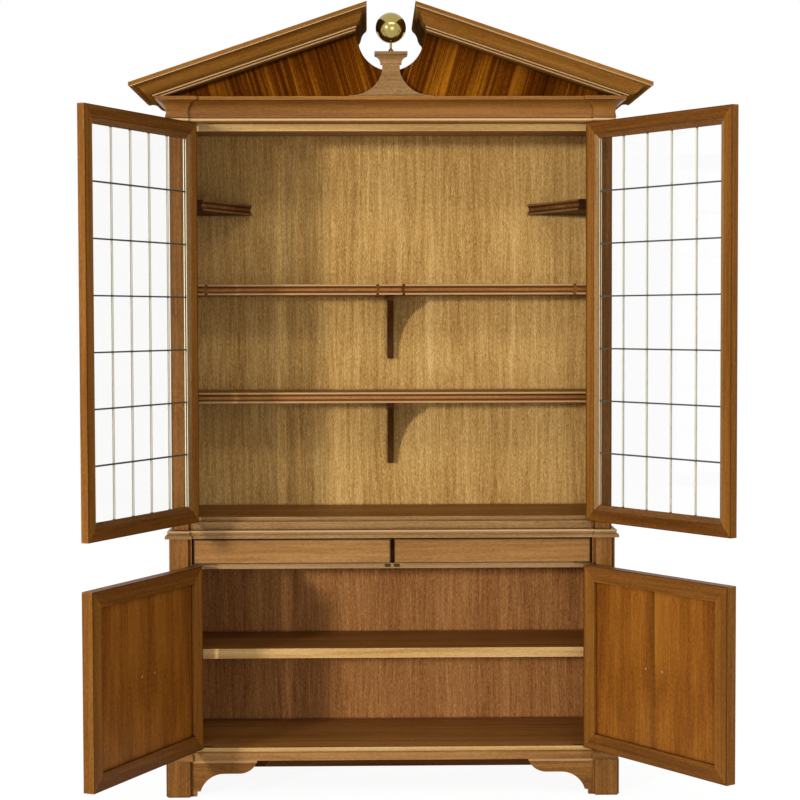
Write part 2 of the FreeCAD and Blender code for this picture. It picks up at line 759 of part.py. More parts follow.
def door_hinges(level, side):
    """The two leaves let into a door's edges, and the pockets that take them."""
    bottom, top = f"{level}_door_bottom", f"{level}_door_top"
    leaves = [hinge_plate(f"{level}_{side}_leaf_low", side, bottom, f"{bottom} + hinge_leaf", "hinge_reach",
                          hole=True),
              hinge_plate(f"{level}_{side}_leaf_high", side, f"{top} - hinge_leaf", top, "hinge_reach",
                          hole=True)]
    near, far = "door_start", "hinge_length"
    ends = (near, far) if side == "left" else (f"-({far})", f"-({near})")
    pockets = group(f"{level}_{side}_pockets", [
        board(f"{level}_{side}_pocket_low", ends, ("pivot_forward", "pivot_forward + hinge_reach"),
              (bottom, f"{bottom} + hinge_leaf")),
        board(f"{level}_{side}_pocket_high", ends, ("pivot_forward", "pivot_forward + hinge_reach"),
              (f"{top} - hinge_leaf", top))])
    return leaves, pockets


def fixed_hinges():
    """Leaves with pins on the carcass, above and below each door."""
    plates = []
    for level in ("upper", "lower"):
        bottom, top = f"{level}_door_bottom", f"{level}_door_top"
        top_reach = "hinge_reach" if level == "upper" else "rail_front - base_front + rail_hinge_bearing"
        for side in ("left", "right"):
            low = hinge_plate(f"{level}_{side}_fixed_low", side, f"{bottom} - hinge_gap - hinge_leaf",
                              f"{bottom} - hinge_gap", "hinge_reach",
                              pin=(f"{bottom} - hinge_gap - hinge_leaf", f"{bottom} + hinge_leaf"))
            high = hinge_plate(f"{level}_{side}_fixed_high", side, f"{top} + hinge_gap",
                               f"{top} + hinge_gap + hinge_leaf", top_reach,
                               pin=(f"{top} - hinge_leaf", f"{top} + hinge_gap + hinge_leaf"))
            for plate in (low, high):
                holder = group(plate.Name + "_placed", [plate])
                front = "base_front" if level == "lower" else "hutch_front"
                settle(holder, ("-" if side == "left" else "") + "pivot_place", f"{front} - pivot_forward")
                plates.append(holder)
    node("fixed_hinge_leaves", group("fixed_hinge_leaves", plates))


def came_lattice(name, side, low, high):
    """Metal bars that divide the glass into panes, soldered where they cross."""
    left = f"{door_left_edge(side)} + sight_width"
    wide = "(door_width - 2*sight_width)"
    bottom = "(upper_door_bottom + sight_width)"
    tall = "(upper_door_height - 2*sight_width)"
    bars = []
    for i in range(1, PANE_COLUMNS):
        middle = f"{left} + {wide}*{i}/{PANE_COLUMNS}"
        bars.append(board(f"{name}_upright{i}", (f"{middle} - came_width/2", f"{middle} + came_width/2"),
                          (low, high), (bottom, f"{bottom} + {tall}")))
    for i in range(1, PANE_ROWS):
        middle = f"{bottom} + {tall}*{i}/{PANE_ROWS}"
        bars.append(board(f"{name}_cross{i}", (left, f"{left} + {wide}"), (low, high),
                          (f"{middle} - came_width/2", f"{middle} + came_width/2")))
    return joined(name, bars)


def upper_door(side):
    name = f"upper_{side}"
    leaves, pockets = door_hinges("upper", side)
    flat, sight = "upper_frame_flat", "sight_width"
    bevel = "sight_width - upper_frame_bevel"
    face = "upper_door_thick"
    layers = [("0", flat, "0", face, face), (flat, bevel, "glass_front", face, face),
              (bevel, sight, "glass_front", face, f"{face} - upper_frame_bevel_drop")]
    frame = mitred_frame(name + "_frame", side, "upper_door_bottom", "upper_door_height",
                         "upper_door_inside", layers, pockets)
    beads = mitred_frame(name + "_bead", side, "upper_door_bottom", "upper_door_height", "upper_door_inside",
                         [(flat, sight, "bead_sink", "glass_back", "glass_back")])
    for bead in beads:
        bind(bead, Z2min="glass_back - bead_edge")
    edge = door_left_edge(side)
    pane = board(name + "_pane", (f"{edge} + {flat}", f"{edge} + door_width - {flat}"),
                 ("upper_door_inside - glass_front", "upper_door_inside - glass_back"),
                 (f"upper_door_bottom + {flat}", f"upper_door_top - {flat}"))
    inner = came_lattice(name + "_came_inner", side, "upper_door_inside - glass_back",
                         "upper_door_inside - glass_back + came_thick")
    outer = came_lattice(name + "_came_outer", side, "upper_door_inside - glass_front - came_thick",
                         "upper_door_inside - glass_front")
    for label, pieces in (("frame", frame), ("glazing_beads", beads), ("glass", [pane]),
                          ("cames", [inner, outer]), ("hinge_leaves", leaves)):
        place_door(node(f"{name}_door_{label}", group(f"{name}_door_{label}", pieces)), "upper", side)


def lower_door(side):
    name = f"lower_{side}"
    leaves, pockets = door_hinges("lower", side)
    full, groove, face = "lower_frame_width", "lower_frame_width - panel_tongue", "lower_door_thick"
    layers = [("0", groove, "0", face, face), (groove, full, "0", "lower_frame_back", "lower_frame_back"),
              (groove, full, "panel_front", face, face)]
    frame = mitred_frame(name + "_frame", side, "lower_door_bottom", "lower_door_height",
                         "lower_door_inside", layers, pockets)
    edge = door_left_edge(side)
    slab = board(name + "_slab", (f"{edge} + panel_edge", f"{edge} + door_width - panel_edge"),
                 ("lower_door_inside - panel_front", "lower_door_inside - lower_frame_back"),
                 ("lower_door_bottom + panel_edge", "lower_door_top - panel_edge"))
    middle = f"{edge} + door_width/2"
    panel_face = "lower_door_inside - panel_front"
    panel_rear = "lower_door_inside - lower_frame_back"
    inward = FreeCAD.Rotation(FreeCAD.Vector(1, 0, 0), -QUARTER_TURN)
    bow = doc.addObject("Part::Torus", name + "_bow")
    bind(bow, Radius1="pull_span/2", Radius2="pull_bar_radius", Angle3=str(HALF_TURN))
    bow.Placement = FreeCAD.Placement(FreeCAD.Vector(), FreeCAD.Rotation(FreeCAD.Vector(0, 0, 1), HALF_TURN))
    settle(bow, middle, panel_face, "pull_height")
    def stud(part, sign, radius, length, start):
        return rod(f"{name}_{part}{sign}", radius, length, f"{middle} {sign} pull_span/2", start,
                   "pull_height", inward)
    roses, holes, screws = [], [], []
    for sign in ("-", "+"):
        roses.append(stud("rose", sign, "pull_rose_radius", "pull_rose_thick",
                          f"{panel_face} - pull_rose_thick"))
        holes.append(stud("hole", sign, "pull_screw_radius + pull_screw_play", "panel_thick", panel_face))
        shank = stud("shank", sign, "pull_screw_radius", "panel_thick", panel_face)
        head = stud("head", sign, "pull_head_radius", "pull_head_thick", panel_rear)
        screws.append(joined(f"{name}_screw{sign}", [shank, head]))
    panel = cut(name + "_panel", slab, group(name + "_holes", holes))
    pull = joined(name + "_handle", [bow] + roses)
    for label, pieces in (("door_frame", frame), ("door_panel", [panel]), ("door_hinge_leaves", leaves),
                          ("pull", [pull] + screws)):
        place_door(node(f"{name}_{label}", group(f"{name}_{label}", pieces)), "lower", side)


# Pediment
def crown_profile():
    """Raking crown, outwards from the tympanum and downwards from its top."""
    proud, deep = S.crown_proud, S.crown_height
    fascia, fillet = S.crown_fascia, S.crown_fillet
    reeds_deep = REED_COUNT * S.crown_reed
    bead_low = deep - reeds_deep
    bead_high = bead_low - S.crown_bead
    reed_step = S.crown_reed / 2
    foot_out = S.crown_soffit + REED_COUNT * reed_step
    cyma_top = (proud - 2 * fillet, fascia + fillet)
    cyma_low = (foot_out, bead_high)
    middle = ((cyma_top[0] + cyma_low[0]) / 2, (cyma_top[1] + cyma_low[1]) / 2)
    sag = CYMA_SHARE * math.hypot(middle[0] - cyma_low[0], middle[1] - cyma_low[1])
    points = [(0, 0), (proud, 0), (proud, fascia), (proud - fillet, fascia),
              (proud - fillet, fascia + fillet), cyma_top, (*middle, sag), (*cyma_low, -sag),
              (foot_out, bead_low, -BEAD_SHARE * S.crown_bead)]
    reed_sag = -BEAD_SHARE * S.crown_reed
    for k in range(1, REED_COUNT + 1):
        out = foot_out - k * reed_step
        points += [(out, bead_low + (k - 1) * S.crown_reed), (out, bead_low + k * S.crown_reed, reed_sag)]
    return points + [(0, deep)]


def crown_top(x):
    """Height of the pediment's sloping top above a place on the right."""
    return S.crown_tip_level + S.rake * (S.crown_tip - x)


def crown_length(name, place, along, plan):
    """A straight length of crown, cut to its mitred plan."""
    length = Part.Face(profile_wire(crown_profile(), place)).extrude(along)
    low = S.cornice_top - S.crown_height
    corners = [FreeCAD.Vector(x, y, low) for x, y in plan + plan[:1]]
    tall = S.pediment_rise + 2 * S.crown_height
    block = Part.Face(Part.makePolygon(corners)).extrude(FreeCAD.Vector(0, 0, tall))
    return feature(name, length.common(block))


def raking_crowns():
    """Each side has the eave's return, the raking length and the return at the open middle."""
    half, tip, inner, end = S.hutch_half, S.crown_tip, S.crown_inner_face, S.crown_inner_end
    spare, rear = S.cut_overrun, S.base_back + S.cut_overrun
    narrow = S.crown_inner_return / S.crown_proud
    front, behind = S.hutch_front - S.crown_proud - spare, S.hutch_front + spare
    eave_mitre = [(half - spare, behind), (tip + spare, front)]
    inner_mitre = [(inner + narrow * spare, behind), (end - narrow * spare, front)]
    start = end - spare
    span = tip + spare - start
    rake = crown_length("rake_right", lambda out, down: FreeCAD.Vector(start, S.hutch_front - out,
                        crown_top(start) - down), FreeCAD.Vector(span, 0, -S.rake * span),
                        inner_mitre[::-1] + eave_mitre)
    inward = FreeCAD.Vector(0, S.base_back - front, 0)
    eave = crown_length("eave_right", lambda out, down: FreeCAD.Vector(half + out, front,
                        crown_top(half + out) - down), inward,
                        eave_mitre + [(tip + spare, rear), (half - spare, rear)])
    heart = crown_length("heart_right", lambda out, down: FreeCAD.Vector(inner - narrow * out, front,
                         crown_top(inner - narrow * out) - down), inward,
                         inner_mitre + [(start, front), (start, rear), (inner + narrow * spare, rear)])
    side = "crown_tip + cut_overrun"
    seat = board("crown_seat", ("0", side),
                 ("hutch_front - crown_proud - cut_overrun", "base_back + cut_overrun"),
                 ("frieze_bottom", "cornice_top"))
    right = [cut("rake_seated", rake, seat), cut("eave_seated", eave, seat), heart]
    left = [mirrored(piece.Name + "_left", piece) for piece in right]
    node("raking_crowns", group("raking_crowns", left + right))


def roof_outline():
    """One roof board, seen from the front, from the eave to the open middle."""
    inner, level = S.crown_inner_face, S.roof_inner_level
    return [(S.hutch_half, S.side_top), (S.hutch_half, S.roof_eave_level), (inner, level),
            (inner, level - S.roof_board)]


def pediment_boards():
    right = pad("roof_right", "XZ_Plane", roof_outline(), "base_back - hutch_front")
    settle(right, y="base_back")
    slopes = [mirrored("roof_left", right), right]
    under = "roof_inner_level - rake*cheek_board - roof_board"
    cheeks = both_sides("pediment_cheek", ("crown_inner_face", "crown_inner_face + cheek_board"),
                        ("hutch_front + tympanum_thick", "base_back"),
                        ("roof_inner_level - crown_height", under))
    node("roof_boards", group("roof_boards", slopes + cheeks))
    shoulder = S.roof_inner_level - S.roof_board
    soffit = S.roof_inner_level - S.crown_height
    half = [(S.hutch_half, S.cornice_top), (S.hutch_half, S.side_top), (S.crown_inner_face, shoulder),
            (S.crown_inner_face, soffit)]
    points = half + [(-x, z) for x, z in reversed(half)]
    whole = pad("tympanum_board", "XZ_Plane", points, "tympanum_thick")
    settle(whole, y="hutch_front + tympanum_thick")
    bite = rod("tympanum_bite", "bite_radius", "tympanum_thick", "0", "hutch_front", "bite_level",
               FreeCAD.Rotation(FreeCAD.Vector(1, 0, 0), -QUARTER_TURN))
    node("tympanum", cut("tympanum", whole, bite))


def pedestal():
    """A flared pedestal for the finial, and its square cap with hollow sides."""
    half, neck = S.pedestal_width / 2, S.pedestal_neck / 2
    low, high = S.cornice_top, S.pedestal_top
    toe, shoulder = low + S.pedestal_toe, low + S.pedestal_flare
    side = [(half, low), (half, toe), (neck, shoulder, S.pedestal_hollow), (neck, high)]
    points = side + [(-neck, high), (-neck, shoulder), (-half, toe, S.pedestal_hollow), (-half, low)]
    stand = pad("pedestal", "XZ_Plane", points, "pedestal_thick")
    settle(stand, y="hutch_front")
    node("pedestal", stand)
    spare = (S.cap_width - S.pedestal_neck) / 2

    def cap_outline(wide):
        lip = S.cap_top - S.cap_lip
        foot = wide - spare + S.cap_hollow
        return [(-foot, high, S.cap_hollow), (foot, high), (wide, lip, S.cap_hollow), (wide, S.cap_top),
                (-wide, S.cap_top), (-wide, lip)]
    front = pad("cap_front", "XZ_Plane", cap_outline(S.cap_width / 2), "cap_depth")
    settle(front, y="finial_place + cap_depth/2")
    flank = pad("cap_flank", "YZ_Plane", cap_outline(S.cap_depth / 2), "cap_width")
    settle(flank, x="-cap_width/2", y="finial_place")
    cap = doc.addObject("Part::Common", "pedestal_cap")
    cap.Base = front
    cap.Tool = flank
    node("pedestal_cap", cap)


def finial():
    foot = doc.addObject("Part::Cone", "stem_foot")
    bind(foot, Radius1="stem_foot_radius", Radius2="stem_radius", Height="stem_foot_height")
    settle(foot, "0", "finial_place", "cap_top")
    shaft = rod("stem_shaft", "stem_radius", "stem_height", "0", "finial_place", "cap_top")
    ball = doc.addObject("Part::Sphere", "ball_round")
    bind(ball, Radius="ball_radius")
    settle(ball, "0", "finial_place", "ball_level")
    seat = rod("ball_seat", "stem_foot_radius", "ball_radius", "0", "finial_place",
               "cap_top + stem_height - ball_radius")
    node("finial", group("finial", [joined("finial_stem", [foot, shaft]), cut("finial_ball", ball, seat)]))


def build():
    base_carcass()
    pilasters()
    base_mouldings()
    feet()
    foot_brackets()
    cupboard_fittings()
    lower_shelf()
    drawer("left", -1)
    drawer("right", 1)
    hutch_carcass()
    cornice()
    hutch_shelves()
    shelf_brackets()
    fixed_hinges()
    for side in ("left", "right"):
        upper_door(side)
        lower_door(side)
    raking_crowns()
    pediment_boards()
    pedestal()
    finial()


def check_and_write():
    """Stop on any object that failed, then write each sub-part."""
    doc.recompute()
    failed = [o.Label for o in doc.Objects if "Invalid" in o.State or "Error" in o.State]
    bad = [n.Label for n in nodes if n.Shape.isNull() or not n.Shape.isValid() or not n.Shape.Solids]
    if failed or bad:
        raise RuntimeError(f"failed objects {failed}, bad shapes {bad}")
    os.makedirs("parts", exist_ok=True)
    for piece in nodes:
        piece.Shape.exportStep(f"parts/{piece.Label}.step")
    print(len(nodes), "sub-parts,", sum(len(n.Shape.Solids) for n in nodes), "solids")


build()
check_and_write()
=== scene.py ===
"""Looks of the tall glazed cabinet: varnished wood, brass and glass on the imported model."""
import json
import math
from collections import namedtuple

import bpy
import numpy as np
from mathutils import Matrix, Vector

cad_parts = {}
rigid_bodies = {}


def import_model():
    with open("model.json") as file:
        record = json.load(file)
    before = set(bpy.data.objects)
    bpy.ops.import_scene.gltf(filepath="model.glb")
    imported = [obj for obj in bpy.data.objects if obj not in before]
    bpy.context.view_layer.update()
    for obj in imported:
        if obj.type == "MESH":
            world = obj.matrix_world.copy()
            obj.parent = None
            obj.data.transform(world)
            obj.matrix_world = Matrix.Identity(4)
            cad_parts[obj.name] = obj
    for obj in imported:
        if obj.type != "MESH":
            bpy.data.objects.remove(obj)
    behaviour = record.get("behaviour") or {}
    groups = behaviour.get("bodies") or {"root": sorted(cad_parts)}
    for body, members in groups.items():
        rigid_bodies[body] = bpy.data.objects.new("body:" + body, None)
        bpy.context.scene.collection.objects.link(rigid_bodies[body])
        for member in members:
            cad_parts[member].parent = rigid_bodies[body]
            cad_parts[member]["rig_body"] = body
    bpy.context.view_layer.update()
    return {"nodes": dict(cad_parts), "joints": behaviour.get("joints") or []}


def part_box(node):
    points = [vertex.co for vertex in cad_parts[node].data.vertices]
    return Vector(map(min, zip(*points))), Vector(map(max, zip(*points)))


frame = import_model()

MILLI = 0.001
nodes = frame["nodes"]
joints = {joint["child"]: joint for joint in frame["joints"] if joint["type"] == "hinge"}

# Camera, fitted to the photograph. The focal length and the width are in its pixels
CAMERA_PLACE = Vector((-0.0651, -5.5545, 1.3468))
CAMERA_YAW = -0.0164
CAMERA_PITCH = 0.0426
CAMERA_ROLL = -0.0028
PHOTO_FOCAL = 1908.36
PHOTO_WIDTH = 800
SENSOR_WIDTH = 36

# Stage. A lamp has its place, its width and height, and its power
AMBIENT = 0.5
FLOOR_REACH = 40.0
FLOOR_BOUNCE = 0.6
FLOOR_SHADE = 0.16
FLOOR_GLOW = 0.92
LAMP_TARGET = (0, 0, 1.1)
LAMPS = {
    "key": ((-6.15, -9.1, 2.2), (0.6, 0.6), 610),
    "top": ((0.4, -3.8, 4.0), (3.0, 0.8), 34),
    "fill": ((1.0, -6.0, 0.8), (2.5, 2.5), 45),
}

# Directions, and how squarely a face has to look one way to count as turned there
FRONT = (0, -1, 0)
REAR = (0, 1, 0)
RIGHT = (1, 0, 0)
LEFT = (-1, 0, 0)
FACING_RANGE = (0.6, 0.8)

# Veneer. A layer has its weight, its scales along and across the grain, its detail and its roughness
WOBBLE_STRETCH = (0.7, 2.0, 2.0)
WOBBLE_SCALE = 2.2
WOBBLE_REACH = (0.0, 0.03, 0.03)
BAND_LAYERS = ((0.9, 0.9, 8.0, 2.0, 0.5), (0.9, 1.2, 52.0, 3.0, 0.6))
FLECK_LAYERS = ((0.5, 8.0, 190.0, 2.0, 0.5), (1.1, 110.0, 520.0, 2.0, 0.65))
PORE_GRAIN = (60.0, 1000.0, 1.0, 0.5)
PORE_RANGE = (0.54, 0.66)
PORE_DARK = 0.3
PORE_ROUGH = 0.16
PALE_SMOOTH = -0.1
RING_STRETCH = (0.12, 1.0, 1.0)
RING_CENTRE = (0.0, 0.11, 0.05)
RING_SETTINGS = {"Scale": 22.0, "Distortion": 3.2, "Detail": 3.0, "Detail Scale": 1.4}
SHIFT_STEPS = ((37, 0.31), (53, 0.17), (29, 0.23))

# Varnish and sanding: lighter edges (wear, and a painted highlight), darker corners and gaps (glaze, and
# painted shade), the depth of the grain, eased edges
CREVICE_SAMPLES = 4
WEAR_AND_HIGHLIGHT_REACH = 0.003
WEAR_AND_HIGHLIGHT_RANGE = (0.35, 0.95)
WEAR_AND_HIGHLIGHT_SHARE = 0.45
WEAR_AND_HIGHLIGHT_GAIN = (1.7, 1.75, 1.9, 1)
GLAZE_AND_SHADE_REACH = 0.008
GLAZE_AND_SHADE_RANGE = (0.3, 0.85)
GLAZE_AND_SHADE_DEEPEST = 0.16
GRAIN_STRENGTH = 0.2
GRAIN_DEPTH = 0.0005
EASED_EDGE = 0.8 * MILLI
EASED_ANGLE = 35
EASED_SEGMENTS = 2
WELD_REACH = 1e-5

# Mouldings: the height of each crest with a painted highlight, up from the foot or down from the top, and
# how strong that highlight is
CREST_HALF = 0.004
CORNICE_CREST = 0.008
CORNICE_HIGHLIGHT = 0.95
WAIST_CREST = -0.003
WAIST_HIGHLIGHT = 0.7
BRACKET_CREST = -0.003
BRACKET_HIGHLIGHT = 0.5

# Crown: how far its crests with a painted highlight and its reeds with painted shade lie below its top
CROWN_CRESTS = (0.011, 0.0503, 0.0579)
CROWN_GROOVES = (0.0545, 0.0613)
REED_HALF = 0.0025
CROWN_HIGHLIGHT = 0.7
REED_SHADE = 0.6

# Drawer fronts: the painted shadow in the gap round them, which is narrower along the foot
DRAWER_RIM = (0.0015, 0.0045)
DRAWER_RIM_SHADOW = 0.85
FOOT_NARROWING = 1.6

# Tympanum: stripes, and painted light, paler at its middle's foot and darker towards the top
STRIPE_LEAN = 0.3
STRIPE_FINENESS = 2.1
HALVES_APART = 0.37
LIT_FOOT_SHARE = 0.9
LIT_REACH = (0.2, 0.5)
LIT_END_SHARE = 0.3

# Shelf edges: where the grooves start and end, as shares of half the thickness; then the painted shade in
# the grooves and on edges turned aside, and the painted highlight on the lips
GROOVE_START_SHARES = (0.18, 0.32)
GROOVE_END_SHARES = (0.58, 0.7)
GROOVE_SHADE = 0.75
TURNED_SHADE = 0.75
LIP_HIGHLIGHT = 0.5
CORNER_LIP_HIGHLIGHT = 0.08

# Doors: painted highlights on the sight edges, painted shade on the rims, and the seam of the matched
# panels, with painted shade and a painted sheen beside it
SIGHT_EDGE = 0.049
SIGHT_EDGE_REACH = 0.008
UPRIGHT_RIM = 0.007
LEVEL_RIM = 0.0035
DOOR_RIM_SHADE = 0.9
SEAM_WIDTH = 0.003
SEAM_DARK = 0.5
SHADE_WIDTH = 0.035
SHADE_DARK = 0.35
SHEEN_WIDTH = 0.06
SHEEN_GOLD = 0.45
SHEEN_START_SHARES = (0.38, 0.58)
SEAM_SHADE_AND_SHEEN_STRENGTHS = {"left": 0.3, "right": 1.0}
PANE_ROWS = 7
CROSS_BAR_HALF = 0.0023

# Metal and glass: handling marks, cames, pulls and panes
MARK_NOISE = (24.0, 4.0, 0.6)
MARK_RANGE = (0.3, 0.7)
MARK_ROUGHNESS_SHARES = (0.8, 1.3)
CAME_ROUGHNESS = 0.5
CAME_MARKS = 0.05
PULL_ROUGHNESS = (0.14, 0.5)
PULL_MARKS = 0.15
PANE_ROUGHNESS = 0.02
PANE_TINT = (0.995, 0.998, 0.996, 1)
PANE_BLEND = 0.5
PANE_MIRROR_POWER = 5.0
PANE_MIRROR_GAIN = 0.6
PANE_MIRROR_LEAST = 0.015


def linear(red, green, blue):
    """A colour as it looks on screen, from 0 to 255, as the linear colour that shaders use."""
    def channel(value):
        share = value / 255
        return share / 12.92 if share <= 0.04045 else ((share + 0.055) / 1.055) ** 2.4
    return (channel(red), channel(green), channel(blue), 1)


class Tree:
    """Short ways to add and link shader nodes."""

    def __init__(self, tree):
        self.tree = tree

    def add(self, kind, **settings):
        node = self.tree.nodes.new(kind)
        for name, value in settings.items():
            setattr(node, name, value)
        return node

    def feed(self, socket, value):
        if isinstance(value, bpy.types.NodeSocket):
            self.tree.links.new(value, socket)
        else:
            socket.default_value = value

    def math(self, operation, first, second=0.0, third=0.0, clamp=False):
        node = self.add("ShaderNodeMath", operation=operation, use_clamp=clamp)
        for socket, value in zip(node.inputs, (first, second, third)):
            self.feed(socket, value)
        return node.outputs[0]

    def vector_math(self, operation, first, second=(0, 0, 0)):
        node = self.add("ShaderNodeVectorMath", operation=operation)
        self.feed(node.inputs[0], first)
        self.feed(node.inputs[1], second)
        return node.outputs[0]

    def mix_color(self, factor, first, second, blend="MIX"):
        node = self.add("ShaderNodeMix", data_type="RGBA", blend_type=blend, clamp_factor=True)
        for index, value in ((0, factor), (6, first), (7, second)):
            self.feed(node.inputs[index], value)
        return node.outputs[2]

    def mix_vector(self, factor, first, second):
        node = self.add("ShaderNodeMix", data_type="VECTOR", clamp_factor=True)
        for index, value in ((0, factor), (4, first), (5, second)):
            self.feed(node.inputs[index], value)
        return node.outputs[1]

    def remap(self, value, low, high, to_low=0.0, to_high=1.0):
        node = self.add("ShaderNodeMapRange", clamp=True)
        for socket, number in zip(node.inputs, (value, low, high, to_low, to_high)):
            self.feed(socket, number)
        return node.outputs[0]

    def noise(self, vector, scale, detail=2.0, roughness=0.5):
        node = self.add("ShaderNodeTexNoise", noise_dimensions="3D", normalize=True)
        self.feed(node.inputs["Vector"], vector)
        self.feed(node.inputs["Scale"], scale)
        self.feed(node.inputs["Detail"], detail)
        self.feed(node.inputs["Roughness"], roughness)
        return node


# Wood
def wood_figure():
    """Figure of sliced veneer, as a group. The grain runs along the first axis of its vector."""
    group = bpy.data.node_groups.new("wood_figure", "ShaderNodeTree")
    sockets = (("Vector", "NodeSocketVector"), ("Dark", "NodeSocketColor"), ("Mid", "NodeSocketColor"),
               ("Light", "NodeSocketColor"), ("Bands", "NodeSocketFloat"), ("Flecks", "NodeSocketFloat"),
               ("Rings", "NodeSocketFloat"), ("Rough", "NodeSocketFloat"))
    for name, kind in sockets:
        group.interface.new_socket(name, in_out="INPUT", socket_type=kind)
    for name, kind in (("Color", "NodeSocketColor"), ("Roughness", "NodeSocketFloat"),
                       ("Height", "NodeSocketFloat")):
        group.interface.new_socket(name, in_out="OUTPUT", socket_type=kind)
    tree = Tree(group)
    given = tree.add("NodeGroupInput").outputs
    wobble = tree.noise(tree.vector_math("MULTIPLY", given["Vector"], WOBBLE_STRETCH), WOBBLE_SCALE)
    centred = tree.vector_math("SUBTRACT", wobble.outputs["Color"], (0.5, 0.5, 0.5))
    bent = tree.vector_math("ADD", given["Vector"], tree.vector_math("MULTIPLY", centred, WOBBLE_REACH))

    def streaks(along, across, detail, roughness):
        stretched = tree.vector_math("MULTIPLY", bent, (along, across, across))
        return tree.noise(stretched, 1.0, detail, roughness).outputs["Fac"]

    def layered(layers):
        total = 0.0
        for weight, *shape in layers:
            total = tree.math("MULTIPLY_ADD", tree.math("SUBTRACT", streaks(*shape), 0.5), weight, total)
        return total

    bands = layered(BAND_LAYERS)
    flecks = layered(FLECK_LAYERS)
    pores = tree.remap(streaks(*PORE_GRAIN), *PORE_RANGE)
    rings = tree.add("ShaderNodeTexWave", wave_type="RINGS", rings_direction="X", wave_profile="SIN")
    drawn = tree.vector_math("MULTIPLY", bent, RING_STRETCH)
    tree.feed(rings.inputs["Vector"], tree.vector_math("ADD", drawn, RING_CENTRE))
    for name, value in RING_SETTINGS.items():
        tree.feed(rings.inputs[name], value)
    spread = tree.math("MULTIPLY", tree.math("SUBTRACT", rings.outputs["Fac"], 0.5), given["Rings"])
    spread = tree.math("MULTIPLY_ADD", bands, given["Bands"], spread)
    spread = tree.math("MULTIPLY_ADD", flecks, given["Flecks"], spread)
    level = tree.math("ADD", spread, 0.5, clamp=True)
    low = tree.mix_color(tree.math("MULTIPLY", level, 2.0), given["Dark"], given["Mid"])
    tone = tree.mix_color(tree.math("MULTIPLY_ADD", level, 2.0, -1.0), low, given["Light"])
    pored = tree.mix_color(tree.math("MULTIPLY", pores, PORE_DARK), tone, given["Dark"])
    smoothed = tree.math("MULTIPLY_ADD", level, PALE_SMOOTH, given["Rough"])
    rough = tree.math("MULTIPLY_ADD", pores, PORE_ROUGH, smoothed)
    height = tree.math("SUBTRACT", tree.math("ADD", bands, flecks), pores)
    out = tree.add("NodeGroupOutput").inputs
    tree.feed(out["Color"], pored)
    tree.feed(out["Roughness"], rough)
    tree.feed(out["Height"], height)
    return group


WOOD = wood_figure()

# A wood surface: its dark, middle and light tones, how strong its bands, flecks and rings are, and how
# glossy and rough it is
Look = namedtuple("Look", "tones bands flecks rings gloss rough", defaults=(0.9, 0.8, 0.08, 0.12, 0.46))


def tones(*colors):
    """Screen colours as the linear tones of a look."""
    return tuple(linear(*color) for color in colors)


LOOKS = {
    "case": Look(tones((74, 38, 10), (134, 86, 34), (176, 124, 64))),
    "drawer": Look(tones((92, 54, 22), (152, 104, 52), (188, 140, 82)), 1.0, 0.7),
    "fawn": Look(tones((88, 58, 32), (152, 112, 66), (190, 150, 100)), 0.7, 0.9),
    "cornice": Look(tones((78, 42, 10), (138, 88, 30), (178, 124, 56)), 0.8, 0.6, 0.06, 0.16, 0.34),
    "crown": Look(tones((78, 42, 10), (140, 90, 33), (180, 126, 60)), 0.8, 0.6, 0.06, 0.0),
    "back": Look(tones((136, 96, 44), (200, 156, 88), (238, 202, 132)), 0.7, 1.5, 0.05, 0.04),
    "low_back": Look(tones((102, 61, 31), (169, 112, 60), (210, 154, 94)), 0.7, 1.4, 0.04, 0.04),
    "panel": Look(tones((92, 46, 8), (147, 87, 25), (184, 122, 48)), 0.5, 1.0, 0.25, 0.08),
    "frame": Look(tones((82, 44, 12), (139, 87, 31), (178, 122, 58)), 0.8, 0.7, 0.08, 0.06),
    "cross": Look(tones((68, 35, 9), (121, 73, 25), (160, 106, 50)), 0.8, 0.7, 0.08, 0.06),
    "bead": Look(tones((66, 36, 14), (116, 74, 36), (164, 116, 68)), 0.7, 0.8, 0.05, 0.1),
    "shelf": Look(tones((78, 42, 14), (138, 85, 32), (178, 122, 60)), 0.9, 0.7, 0.08, 0.06),
    "low_shelf": Look(tones((84, 48, 20), (150, 97, 43), (188, 134, 72)), 0.9, 0.7, 0.08, 0.06),
    "lip": Look(tones((150, 106, 54), (206, 163, 98), (232, 198, 140)), 0.8, 0.6, 0.05, 0.1),
    "rail": Look(tones((126, 88, 50), (180, 140, 92), (210, 174, 126)), 0.8, 0.6, 0.05, 0.1),
    "edge": Look(tones((88, 48, 18), (160, 104, 50), (204, 150, 88)), 0.8, 0.6, 0.05, 0.2, 0.38),
    "ribbon": Look(tones((28, 8, 1), (64, 25, 3), (106, 53, 7)), 1.7, 0.9, 0.0, 0.0),
    # The ribbon_lit look is the tympanum's painted light at its foot
    "ribbon_lit": Look(tones((46, 17, 2), (104, 52, 6), (182, 115, 26)), 1.7, 0.9, 0.0, 0.0),
    # The return look is painted shade: darker tones for the crown's ends, which face aside
    "return": Look(tones((58, 42, 20), (102, 75, 40), (136, 104, 58)), 0.6, 0.5, 0.0, 0.0),
    # The dark look is painted shade on the shelf brackets, corner shelves, front cleat and drawer framing,
    # which lie in shadow; the matched panels also mix it in at their seam
    "dark": Look(tones((34, 17, 6), (80, 45, 18), (124, 80, 40)), 0.9, 0.7, 0.0, 0.04),
    "plain": Look(tones((120, 82, 44), (168, 126, 78), (202, 162, 108)), 0.9, 0.8, 0.1, 0.06),
}

# Paints over the wood: a cream painted highlight, a brown for painted shade, a tan painted highlight and a
# golden painted sheen
SIGHT_HIGHLIGHT_CREAM = linear(250, 240, 204)
SHADE_BROWN = linear(44, 24, 10)
HIGHLIGHT_TAN = linear(216, 178, 128)
SHEEN_GOLDEN = linear(200, 134, 48)

